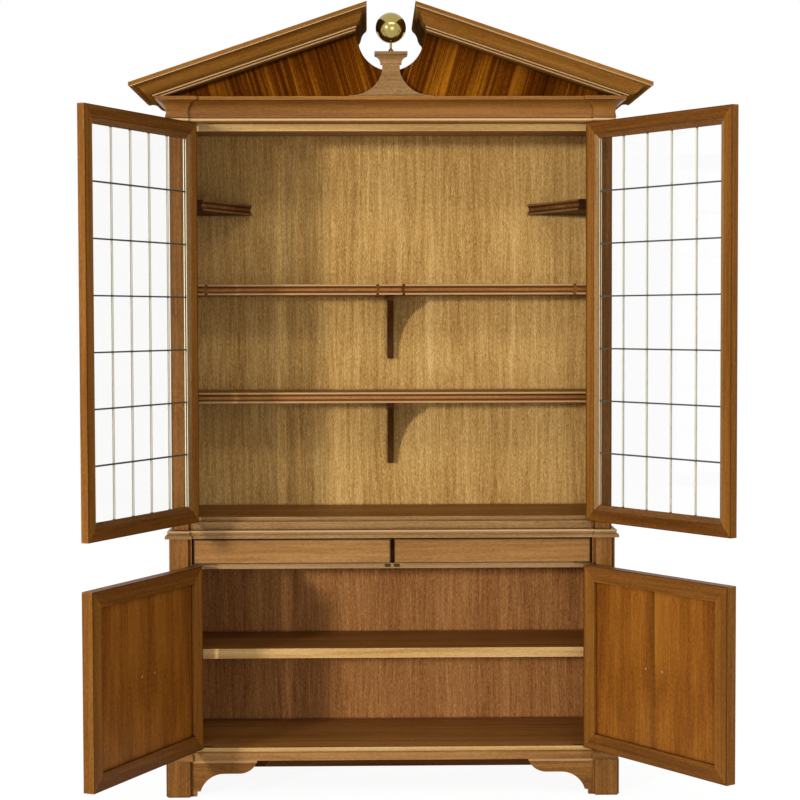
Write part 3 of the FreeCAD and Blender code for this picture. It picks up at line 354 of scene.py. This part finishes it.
# Colours of metal, and the roughness and the marks of each plain metal
BRASS = linear(176, 156, 92)
SCREW_BRASS = linear(206, 178, 118)
# The cames' colours are painted reflections: pale on the uprights, dark on the cross bars
CAME_UPRIGHT_REFLECTION = linear(230, 226, 206)
CAME_CROSS_DARK_REFLECTION = linear(72, 70, 62)
METALS = {
    "polished_brass": (BRASS, 0.14, 0.15),
    "aged_brass": (linear(110, 88, 56), 0.42, 0.35),
    "dull_brass": (linear(74, 58, 36), 0.5, 0.35),
}


def name_shift(name):
    """A place in the wood for each node, so that no two boards share their figure."""
    seed = sum((index + 1) * ord(letter) for index, letter in enumerate(name))
    return tuple((seed % count) * step for count, step in SHIFT_STEPS)


def closing(body):
    """Pivot of a door, and the angle that shuts it from where it stands."""
    joint = joints[body]
    low, high = joint["range_deg"]
    angle = high if high > -low else low
    return Vector(joint["pos_m"]), math.radians(angle)


def shut_box(node):
    """Corners of a door's node once the door is shut, measured from its pivot."""
    pivot, angle = closing(nodes[node]["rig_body"])
    turn = np.array(Matrix.Rotation(angle, 3, "Z"))
    points = np.array([vertex.co for vertex in nodes[node].data.vertices]) - np.array(pivot)
    turned = points @ turn.T
    return Vector(turned.min(0)), Vector(turned.max(0))


def inward(low, high):
    """The way a shut door runs from its pivot: one to the right, minus one to the left."""
    return 1 if high.x > -low.x else -1


def shut(tree, node, vector, kind):
    """A place or direction on a node. On a door it is given as if the door were shut, from its pivot."""
    body = nodes[node]["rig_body"]
    if body not in joints:
        return vector
    pivot, angle = closing(body)
    mapping = tree.add("ShaderNodeMapping", vector_type=kind)
    tree.feed(mapping.inputs["Vector"], vector)
    mapping.inputs["Rotation"].default_value = (0, 0, angle)
    if kind == "POINT":
        mapping.inputs["Location"].default_value = -(Matrix.Rotation(angle, 3, "Z") @ pivot)
    return mapping.outputs[0]


def board_vector(tree, node):
    """A place on a node, which moves with it."""
    return shut(tree, node, tree.add("ShaderNodeTexCoord").outputs["Object"], "POINT")


def split(tree, vector):
    """The three numbers of a vector."""
    parts = tree.add("ShaderNodeSeparateXYZ")
    tree.feed(parts.inputs[0], vector)
    return parts.outputs


def combine(tree, *numbers):
    """A vector of three numbers."""
    whole = tree.add("ShaderNodeCombineXYZ")
    for socket, number in zip(whole.inputs, numbers):
        tree.feed(socket, number)
    return whole.outputs[0]


def facing(tree, node, direction):
    """One on surfaces that face a direction, and zero on those turned well away from it."""
    normal = shut(tree, node, tree.add("ShaderNodeTexCoord").outputs["Normal"], "VECTOR")
    turned = tree.add("ShaderNodeVectorMath", operation="DOT_PRODUCT")
    tree.feed(turned.inputs[0], normal)
    tree.feed(turned.inputs[1], direction)
    return tree.remap(turned.outputs["Value"], *FACING_RANGE)


def side_share(tree, node):
    """One on the faces that look to either side."""
    return tree.math("MAXIMUM", facing(tree, node, RIGHT), facing(tree, node, LEFT))


def along(tree, vector, axis):
    """Turn a vector so that its first number runs along the board's grain."""
    parts = split(tree, vector)
    order = {"x": (0, 1, 2), "y": (1, 2, 0), "z": (2, 0, 1)}[axis]
    return combine(tree, *(parts[index] for index in order))


def edge_reach(tree, value, low, high):
    """How far a value is from the nearer of two ends."""
    return tree.math("MINIMUM", tree.math("SUBTRACT", value, low), tree.math("SUBTRACT", high, value))


def lines(tree, value, centres, half):
    """One on lines at these values, fading to zero at their half width."""
    share = 0.0
    for centre in centres:
        off = tree.math("ABSOLUTE", tree.math("SUBTRACT", value, centre))
        share = tree.math("MAXIMUM", share, tree.remap(off, half / 2, half, 1.0, 0.0))
    return share


def faded(tree, share, strength):
    """A share, made weaker by a strength or by another share."""
    return tree.math("MULTIPLY", share, strength)


def grey(tree, value):
    """A colour that is equally red, green and blue."""
    whole = tree.add("ShaderNodeCombineColor")
    for socket in whole.inputs:
        tree.feed(socket, value)
    return whole.outputs[0]


def crevice(tree, reach, inside=False):
    """How open a place is within a reach: low in corners, or near sharp edges when felt from inside."""
    feel = tree.add("ShaderNodeAmbientOcclusion", samples=CREVICE_SAMPLES, inside=inside, only_local=inside)
    feel.inputs["Distance"].default_value = reach
    return feel.outputs["AO"]


def wood_shader(tree, look, vector, shift, other=None, paints=()):
    """Varnished wood: darker corners and gaps (glaze, and painted shade), and lighter edges (wear, and a
    painted highlight).

    The other look and its share change the tones where they apply. Paints and their shares lie on top.
    """
    finish = LOOKS[look]
    figure = tree.add("ShaderNodeGroup", node_tree=WOOD)
    tree.feed(figure.inputs["Vector"], tree.vector_math("ADD", vector, shift))
    for index, name in enumerate(("Dark", "Mid", "Light")):
        tone = finish.tones[index]
        if other:
            tone = tree.mix_color(other[1], tone, LOOKS[other[0]].tones[index])
        tree.feed(figure.inputs[name], tone)
    for name, value in (("Bands", finish.bands), ("Flecks", finish.flecks), ("Rings", finish.rings),
                        ("Rough", finish.rough)):
        figure.inputs[name].default_value = value
    color = figure.outputs["Color"]
    # Lighter along sharp edges: wear, and a painted highlight on the edges
    wear_and_highlight = tree.remap(crevice(tree, WEAR_AND_HIGHLIGHT_REACH, True), *WEAR_AND_HIGHLIGHT_RANGE, WEAR_AND_HIGHLIGHT_SHARE, 0.0)
    color = tree.mix_color(wear_and_highlight, color, tree.mix_color(1.0, color, WEAR_AND_HIGHLIGHT_GAIN, "MULTIPLY"))
    # Darker in corners and gaps by occlusion: partly glaze, partly painted shade where shade falls
    glaze_and_shade = grey(tree, tree.remap(crevice(tree, GLAZE_AND_SHADE_REACH), *GLAZE_AND_SHADE_RANGE, GLAZE_AND_SHADE_DEEPEST, 1.0))
    color = tree.mix_color(1.0, color, glaze_and_shade, "MULTIPLY")
    for paint, share in paints:
        color = tree.mix_color(share, color, paint)
    bump = tree.add("ShaderNodeBump")
    bump.inputs["Strength"].default_value = GRAIN_STRENGTH
    bump.inputs["Distance"].default_value = GRAIN_DEPTH
    tree.feed(bump.inputs["Height"], figure.outputs["Height"])
    surface = tree.add("ShaderNodeBsdfPrincipled")
    tree.feed(surface.inputs["Base Color"], color)
    tree.feed(surface.inputs["Roughness"], figure.outputs["Roughness"])
    tree.feed(surface.inputs["Normal"], bump.outputs[0])
    surface.inputs["Specular IOR Level"].default_value = finish.gloss
    return surface.outputs[0]


def new_material(name):
    """An empty material, and its tree."""
    material = bpy.data.materials.new(name)
    material.use_nodes = True
    material.node_tree.nodes.clear()
    return material, Tree(material.node_tree)


def finish_material(tree, shader):
    """Lead a shader to the material's surface."""
    output = tree.add("ShaderNodeOutputMaterial")
    tree.feed(output.inputs["Surface"], shader)


def dress(node, material):
    """Give a CAD node its finish."""
    slots = nodes[node].data.materials
    slots.clear()
    slots.append(material)


def wood(node, look, axis, other=None, direction=None):
    """One board, with the grain along one axis. The other look covers the faces turned to a direction."""
    material, tree = new_material(node + "_wood")
    vector = along(tree, board_vector(tree, node), axis)
    share = (other, facing(tree, node, direction)) if other else None
    finish_material(tree, wood_shader(tree, look, vector, name_shift(node), share))
    dress(node, material)


def moulding(node, look, crests=(), strength=0.0):
    """A moulding round the front and both sides: the grain follows each length.

    The crests of its beads, measured up from its foot or down from its top, carry a painted highlight.
    """
    material, tree = new_material(node + "_wood")
    place = board_vector(tree, node)
    vector = tree.mix_vector(side_share(tree, node), along(tree, place, "x"), along(tree, place, "y"))
    low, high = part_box(node)
    levels = [crest + (low.z if crest > 0 else high.z) for crest in crests]
    crest_highlight = faded(tree, lines(tree, split(tree, place)[2], levels, CREST_HALF), strength)
    finish_material(tree, wood_shader(tree, look, vector, name_shift(node), paints=((HIGHLIGHT_TAN, crest_highlight),)))
    dress(node, material)


def crown_wood(node, look, shaded_side_look):
    """Raking crown. Its grain, the painted highlights on its crests and the painted shade in its reeds
    follow the slope, and its ends have a darker look as painted shade.
    """
    material, tree = new_material(node + "_wood")
    points = np.array([vertex.co for vertex in nodes[node].data.vertices])
    reach = abs(points[:, 0])
    tip = points[reach > reach.max() - MILLI, 2].max()
    ridge = points[reach < reach.min() + MILLI, 2].max()
    rake = (ridge - tip) / (reach.max() - reach.min())
    x, y, z = split(tree, board_vector(tree, node))[:3]
    top = tree.math("MULTIPLY_ADD", tree.math("ABSOLUTE", x), -rake, tip + rake * reach.max())
    drop = tree.math("SUBTRACT", top, z)
    side = side_share(tree, node)
    vector = tree.mix_vector(side, combine(tree, x, drop, y), combine(tree, y, z, x))
    front = tree.math("SUBTRACT", 1.0, side)
    pale = faded(tree, faded(tree, lines(tree, drop, CROWN_CRESTS, REED_HALF), CROWN_HIGHLIGHT), front)
    reed_groove_shade = faded(tree, faded(tree, lines(tree, drop, CROWN_GROOVES, REED_HALF), REED_SHADE), front)
    shader = wood_shader(tree, look, vector, name_shift(node), (shaded_side_look, side),
                         ((HIGHLIGHT_TAN, pale), (SHADE_BROWN, reed_groove_shade)))
    finish_material(tree, shader)
    dress(node, material)


def drawer_wood(node, look):
    """A drawer front, with painted shadow round the gap about it."""
    material, tree = new_material(node + "_wood")
    place = board_vector(tree, node)
    low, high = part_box(node)
    x, _, z = split(tree, place)[:3]
    ends = edge_reach(tree, x, low.x, high.x)
    rise = tree.math("MULTIPLY", tree.math("SUBTRACT", z, low.z), FOOT_NARROWING)
    rim = tree.math("MINIMUM", ends, tree.math("MINIMUM", tree.math("SUBTRACT", high.z, z), rise))
    # Painted shadow in the gap round the drawer front
    dark = tree.remap(rim, *DRAWER_RIM, DRAWER_RIM_SHADOW, 0.0)
    shader = wood_shader(tree, look, along(tree, place, "x"), name_shift(node), paints=((SHADE_BROWN, dark),))
    finish_material(tree, shader)
    dress(node, material)


def striped_wood(node, look, lit_look):
    """Striped veneer that leans outwards on both halves, with painted light: paler towards its middle's
    foot, darker above as painted shade.
    """
    material, tree = new_material(node + "_wood")
    low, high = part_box(node)
    x, y, z = split(tree, board_vector(tree, node))[:3]
    reach = tree.math("ABSOLUTE", x)
    across = tree.math("SUBTRACT", reach, tree.math("MULTIPLY", z, STRIPE_LEAN))
    own_half = tree.math("MULTIPLY", tree.math("SIGN", x), HALVES_APART)
    fine = tree.math("MULTIPLY_ADD", across, STRIPE_FINENESS, own_half)
    vector = combine(tree, z, fine, y)
    # Painted light: paler at the middle's foot, darker towards the top as painted shade under the crown
    foot = tree.remap(z, low.z, low.z + (high.z - low.z) * LIT_FOOT_SHARE, 1.0, 0.0)
    pale = faded(tree, foot, tree.remap(reach, *LIT_REACH, 1.0, LIT_END_SHARE))
    finish_material(tree, wood_shader(tree, look, vector, name_shift(node), (lit_look, pale)))
    dress(node, material)


def shelf_wood(node, look, edge, paleness, slanted=False):
    """A shelf. Its front edge has a painted highlight on the lip at the top and bottom, and painted shade
    in a groove inside each.

    Where the edge turns aside, it is darkened with painted shade. On a slanted shelf the slant has the lips
    instead.
    """
    material, tree = new_material(node + "_wood")
    place = board_vector(tree, node)
    low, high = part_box(node)
    front, aside = facing(tree, node, FRONT), side_share(tree, node)
    if slanted:
        front, aside = aside, front
    off = tree.math("ABSOLUTE", tree.remap(split(tree, place)[2], low.z, high.z, -1.0, 1.0))
    inside_lip = tree.remap(off, *GROOVE_END_SHARES, 1.0, 0.0)
    ramp = faded(tree, tree.remap(off, *GROOVE_START_SHARES), inside_lip)
    # Painted shade in the grooves, a painted highlight on the lips, and painted shade where the edge turns
    # aside
    shelf_groove_shade = faded(tree, faded(tree, ramp, front), GROOVE_SHADE)
    lip = faded(tree, faded(tree, tree.remap(off, *GROOVE_END_SHARES), front), paleness)
    turned = faded(tree, aside, TURNED_SHADE)
    shader = wood_shader(tree, look, along(tree, place, "x"), name_shift(node), (edge, front),
                         ((SHADE_BROWN, shelf_groove_shade), (HIGHLIGHT_TAN, lip), (SHADE_BROWN, turned)))
    finish_material(tree, shader)
    dress(node, material)


def mitred_wood(node, look, cross_look, highlit_reveal=False, rim=0.0):
    """A door's mitred frame: the grain runs along each member, and the cross members have their own look.

    With a highlit reveal, the sight edge by the hinges gets a cream painted highlight. With a rim, painted
    shade darkens the faces' outer edge.
    """
    material, tree = new_material(node + "_wood")
    place = board_vector(tree, node)
    low, high = shut_box(node)
    x, _, z = split(tree, place)[:3]
    across = edge_reach(tree, x, low.x, high.x)
    upward = edge_reach(tree, z, low.z, high.z)
    uprights = tree.math("LESS_THAN", across, upward)
    vector = tree.mix_vector(uprights, along(tree, place, "x"), along(tree, place, "z"))
    paints = []
    # Painted shade along the outer edge of the door's faces
    if rim:
        edge = tree.math("MAXIMUM", tree.remap(across, 0.0, UPRIGHT_RIM, rim, 0.0),
                         tree.remap(upward, 0.0, LEVEL_RIM, rim, 0.0))
        faces = tree.math("MAXIMUM", facing(tree, node, REAR), facing(tree, node, FRONT))
        paints.append((SHADE_BROWN, faded(tree, edge, faces)))
    if highlit_reveal:
        way = inward(low, high)
        # A cream painted highlight on the sight edge by the hinges, the face turned to the lamp
        sight_highlight = tree.math("COMPARE", tree.math("MULTIPLY", x, way), SIGHT_EDGE, SIGHT_EDGE_REACH)
        paints.append((SIGHT_HIGHLIGHT_CREAM, faded(tree, sight_highlight, facing(tree, node, (way, 0, 0)))))
    finish_material(tree, wood_shader(tree, cross_look, vector, name_shift(node), (look, uprights), paints))
    dress(node, material)


def matched_wood(node, look, strength):
    """A panel of two leaves, opened like a book about its middle.

    The leaf by the hinges has painted shade towards the seam, and the upper part of the other has a golden
    painted sheen there.
    """
    material, tree = new_material(node + "_wood")
    low, high = shut_box(node)
    x, y, z = split(tree, board_vector(tree, node))[:3]
    middle = (low.x + high.x) / 2
    off = tree.math("MULTIPLY", tree.math("SUBTRACT", x, middle), inward(low, high))
    folded = tree.math("ABSOLUTE", off)
    hinge_leaf = tree.math("LESS_THAN", off, 0.0)
    seam = tree.remap(folded, 0.0, SEAM_WIDTH, SEAM_DARK * strength, 0.0)
    # Painted shade on the hinge leaf beside the seam, then a golden painted sheen on the other leaf's upper
    # part
    shade = faded(tree, tree.remap(folded, 0.0, SHADE_WIDTH, SHADE_DARK * strength, 0.0), hinge_leaf)
    start, end = (low.z + (high.z - low.z) * share for share in SHEEN_START_SHARES)
    upper = faded(tree, tree.remap(z, start, end), tree.math("SUBTRACT", 1.0, hinge_leaf))
    painted_sheen = faded(tree, tree.remap(folded, 0.0, SHEEN_WIDTH, SHEEN_GOLD * strength, 0.0), upper)
    vector = combine(tree, z, folded, y)
    dark = ("dark", tree.math("MAXIMUM", seam, shade))
    finish_material(tree, wood_shader(tree, look, vector, name_shift("leaf"), dark, ((SHEEN_GOLDEN, painted_sheen),)))
    dress(node, material)


def soften(node):
    """Ease the sharp edges of a CAD node, as sanding does."""
    weld = nodes[node].modifiers.new("weld", "WELD")
    weld.merge_threshold = WELD_REACH
    bevel = nodes[node].modifiers.new("ease", "BEVEL")
    bevel.width = EASED_EDGE
    bevel.segments = EASED_SEGMENTS
    bevel.limit_method = "ANGLE"
    bevel.angle_limit = math.radians(EASED_ANGLE)
    bevel.harden_normals = True


# Metal and glass
def metal_shader(tree, color, roughness, marks, metallic=1.0):
    """Metal with faint handling marks. The colour and the roughness are even, or sockets."""
    place = tree.add("ShaderNodeTexCoord").outputs["Object"]
    cloud = tree.noise(place, *MARK_NOISE).outputs["Fac"]
    tarnish = grey(tree, tree.remap(cloud, *MARK_RANGE, 1 - marks, 1.0))
    surface = tree.add("ShaderNodeBsdfPrincipled")
    tree.feed(surface.inputs["Base Color"], tree.mix_color(1.0, color, tarnish, "MULTIPLY"))
    crest_highlight = tree.math("MULTIPLY", tree.remap(cloud, *MARK_RANGE, *MARK_ROUGHNESS_SHARES), roughness)
    tree.feed(surface.inputs["Roughness"], crest_highlight)
    surface.inputs["Metallic"].default_value = metallic
    return surface.outputs[0]


def metal(name):
    """A material of one plain metal."""
    material, tree = new_material(name)
    finish_material(tree, metal_shader(tree, *METALS[name]))
    return material


def came_metal(node):
    """Bars of the lattice: pale uprights and dark cross bars, both painted reflections."""
    material, tree = new_material(node + "_metal")
    low, high = shut_box(node)
    pitch = (high.z - low.z) / PANE_ROWS
    z = split(tree, board_vector(tree, node))[2]
    row = tree.math("DIVIDE", tree.math("SUBTRACT", z, low.z), pitch)
    off = tree.math("ABSOLUTE", tree.math("SUBTRACT", row, tree.math("ROUND", row)))
    cross = tree.math("LESS_THAN", tree.math("MULTIPLY", off, pitch), CROSS_BAR_HALF)
    color = tree.mix_color(cross, CAME_UPRIGHT_REFLECTION, CAME_CROSS_DARK_REFLECTION)
    finish_material(tree, metal_shader(tree, color, CAME_ROUGHNESS, CAME_MARKS, 0.0))
    dress(node, material)


def pull_metal(node):
    """A brass pull, polished outside the door, with dull screw heads inside it."""
    material, tree = new_material(node + "_metal")
    inside = facing(tree, node, REAR)
    color = tree.mix_color(inside, BRASS, SCREW_BRASS)
    roughness = tree.remap(inside, 0.0, 1.0, *PULL_ROUGHNESS)
    finish_material(tree, metal_shader(tree, color, roughness, PULL_MARKS))
    dress(node, material)


def clear_glass():
    """Thin clear panes: they let light straight through and mirror more at a slant."""
    material, tree = new_material("pane_glass")
    gloss = tree.add("ShaderNodeBsdfGlossy")
    gloss.inputs["Roughness"].default_value = PANE_ROUGHNESS
    through = tree.add("ShaderNodeBsdfTransparent")
    through.inputs["Color"].default_value = PANE_TINT
    slant = tree.add("ShaderNodeLayerWeight")
    slant.inputs["Blend"].default_value = PANE_BLEND
    steep = tree.math("POWER", slant.outputs["Facing"], PANE_MIRROR_POWER)
    mix = tree.add("ShaderNodeMixShader")
    mirror = tree.math("MULTIPLY_ADD", steep, PANE_MIRROR_GAIN, PANE_MIRROR_LEAST)
    tree.feed(mix.inputs[0], mirror)
    tree.feed(mix.inputs[1], through.outputs[0])
    tree.feed(mix.inputs[2], gloss.outputs[0])
    finish_material(tree, mix.outputs[0])
    return material


# Finishes. A board has its look and its grain, and may have another look on the faces turned one way
BOARDS = {
    "base_sides": ("case", "z"), "base_stiles": ("case", "z"), "pilasters": ("case", "z"),
    "base_top": ("case", "x"), "feet": ("case", "z"),
    "base_rail": ("case", "x"), "front_cleat": ("dark", "x"), "drawer_rail": ("rail", "x"),
    "drawer_framing": ("dark", "y"),
    "left_drawer_box": ("plain", "y"), "right_drawer_box": ("plain", "y"), "base_back": ("low_back", "z"),
    "base_floor": ("low_shelf", "x", "lip", FRONT), "lower_shelf": ("low_shelf", "x", "lip", FRONT),
    "hutch_sides": ("case", "z"), "hutch_stiles": ("case", "z"), "hutch_plinth": ("fawn", "x"),
    "hutch_floor": ("shelf", "x", "fawn", FRONT), "hutch_back": ("back", "z"), "hutch_top": ("plain", "x"),
    "top_rail": ("lip", "x"), "frieze": ("case", "x"), "roof_boards": ("crown", "y"),
    "pedestal": ("fawn", "x"), "pedestal_cap": ("fawn", "x"), "shelf_brackets": ("dark", "z"),
}
SHELVES = {
    "straight_shelf": ("shelf", "edge", LIP_HIGHLIGHT),
    "stepped_shelf": ("shelf", "edge", LIP_HIGHLIGHT),
    "corner_shelves": ("dark", "bead", CORNER_LIP_HIGHLIGHT, True),
}
DRAWER_FRONTS = ("left_drawer_front", "right_drawer_front")
MOULDINGS = {
    "cornice": ("cornice", [CORNICE_CREST], CORNICE_HIGHLIGHT),
    "base_moulding": ("drawer",),
    "waist_moulding": ("fawn", [WAIST_CREST], WAIST_HIGHLIGHT),
    "foot_brackets": ("case", [BRACKET_CREST], BRACKET_HIGHLIGHT),
}


def dress_wood():
    """Give every wooden node its finish, and ease its edges."""
    for node, finish in BOARDS.items():
        wood(node, *finish)
    for node, finish in SHELVES.items():
        shelf_wood(node, *finish)
    for node in DRAWER_FRONTS:
        drawer_wood(node, "drawer")
    for node, finish in MOULDINGS.items():
        moulding(node, *finish)
    crown_wood("raking_crowns", "crown", "return")
    striped_wood("tympanum", "ribbon", "ribbon_lit")
    eased = [*BOARDS, *SHELVES, *DRAWER_FRONTS, *MOULDINGS, "raking_crowns", "tympanum"]
    for side in ("left", "right"):
        upper_frame, lower_frame = f"upper_{side}_door_frame", f"lower_{side}_door_frame"
        beads = f"upper_{side}_door_glazing_beads"
        mitred_wood(upper_frame, "frame", "cross", highlit_reveal=True, rim=DOOR_RIM_SHADE)
        mitred_wood(beads, "fawn", "bead", highlit_reveal=True)
        mitred_wood(lower_frame, "frame", "cross", rim=DOOR_RIM_SHADE)
        matched_wood(f"lower_{side}_door_panel", "panel", SEAM_SHADE_AND_SHEEN_STRENGTHS[side])
        eased += [upper_frame, beads, lower_frame]
    for node in eased:
        soften(node)


def dress_metal_and_glass():
    """Give every node of metal or glass its finish."""
    brass = metal("polished_brass")
    aged = metal("aged_brass")
    pane = clear_glass()
    for side in ("left", "right"):
        dress(f"upper_{side}_door_glass", pane)
        came_metal(f"upper_{side}_door_cames")
        pull_metal(f"lower_{side}_pull")
        dress(f"upper_{side}_door_hinge_leaves", aged)
        dress(f"lower_{side}_door_hinge_leaves", aged)
    dress("finial", brass)
    for node in ("fixed_hinge_leaves", "shelf_pins"):
        dress(node, aged)
    dress("catch_strikes", metal("dull_brass"))


# Stage
def add_camera():
    """The camera as it was fitted: turned by its yaw and pitch, and rolled about its line of sight."""
    data = bpy.data.cameras.new("camera")
    data.sensor_width = SENSOR_WIDTH
    data.lens = PHOTO_FOCAL / PHOTO_WIDTH * SENSOR_WIDTH
    camera = bpy.data.objects.new("camera", data)
    bpy.context.scene.collection.objects.link(camera)
    flat = Vector((-math.sin(CAMERA_YAW), math.cos(CAMERA_YAW), 0))
    forward = flat * math.cos(CAMERA_PITCH) - Vector((0, 0, math.sin(CAMERA_PITCH)))
    level = Vector((math.cos(CAMERA_YAW), math.sin(CAMERA_YAW), 0))
    head = level.cross(forward)
    right = level * math.cos(CAMERA_ROLL) + head * math.sin(CAMERA_ROLL)
    up = head * math.cos(CAMERA_ROLL) - level * math.sin(CAMERA_ROLL)
    camera.matrix_world = Matrix((
        (right.x, up.x, -forward.x, CAMERA_PLACE.x),
        (right.y, up.y, -forward.y, CAMERA_PLACE.y),
        (right.z, up.z, -forward.z, CAMERA_PLACE.z),
        (0, 0, 0, 1)))
    bpy.context.scene.camera = camera


def add_lamp(name, place, size, power):
    """A soft box that faces the cabinet."""
    data = bpy.data.lights.new(name, "AREA")
    data.shape = "RECTANGLE"
    data.size, data.size_y = size
    data.energy = power
    lamp = bpy.data.objects.new(name, data)
    bpy.context.scene.collection.objects.link(lamp)
    lamp.location = place
    lamp.rotation_mode = "QUATERNION"
    lamp.rotation_quaternion = (Vector(LAMP_TARGET) - Vector(place)).to_track_quat("-Z", "Y")


def seen_directly(tree):
    """One for rays that show the background itself: from the camera, in a mirror or through glass."""
    path = tree.add("ShaderNodeLightPath").outputs
    shown = tree.math("MAXIMUM", path["Is Camera Ray"], path["Is Glossy Ray"])
    return tree.math("MAXIMUM", shown, path["Is Transmission Ray"])


def add_world():
    """A white background that lights the room more softly than it looks."""
    world = bpy.data.worlds.new("studio")
    bpy.context.scene.world = world
    world.use_nodes = True
    world.node_tree.nodes.clear()
    tree = Tree(world.node_tree)
    back = tree.add("ShaderNodeBackground")
    back.inputs["Color"].default_value = (1, 1, 1, 1)
    tree.feed(back.inputs["Strength"], tree.remap(seen_directly(tree), 0.0, 1.0, AMBIENT, 1.0))
    tree.feed(tree.add("ShaderNodeOutputWorld").inputs["Surface"], back.outputs[0])


def matt(tree, shade):
    """A matt grey surface."""
    surface = tree.add("ShaderNodeBsdfDiffuse")
    surface.inputs["Color"].default_value = (shade, shade, shade, 1)
    return surface.outputs[0]


def add_floor():
    """A floor that looks nearly white, with the cabinet's shadow on it, and bounces less light."""
    mesh = bpy.data.meshes.new("floor")
    corners = [(-FLOOR_REACH, -FLOOR_REACH, 0), (FLOOR_REACH, -FLOOR_REACH, 0),
               (FLOOR_REACH, FLOOR_REACH, 0), (-FLOOR_REACH, FLOOR_REACH, 0)]
    mesh.from_pydata(corners, [], [(0, 1, 2, 3)])
    floor = bpy.data.objects.new("floor", mesh)
    bpy.context.scene.collection.objects.link(floor)
    material, tree = new_material("pale_floor")
    glow = tree.add("ShaderNodeEmission")
    glow.inputs["Strength"].default_value = FLOOR_GLOW
    lit = tree.add("ShaderNodeAddShader")
    tree.feed(lit.inputs[0], matt(tree, FLOOR_SHADE))
    tree.feed(lit.inputs[1], glow.outputs[0])
    mix = tree.add("ShaderNodeMixShader")
    tree.feed(mix.inputs[0], seen_directly(tree))
    tree.feed(mix.inputs[1], matt(tree, FLOOR_BOUNCE))
    tree.feed(mix.inputs[2], lit.outputs[0])
    finish_material(tree, mix.outputs[0])
    mesh.materials.append(material)


def add_stage():
    """Camera, background, floor and lamps."""
    add_camera()
    add_world()
    add_floor()
    for name, lamp in LAMPS.items():
        add_lamp(name, *lamp)
    bpy.context.scene.view_settings.view_transform = "Standard"


dress_wood()
dress_metal_and_glass()
add_stage()
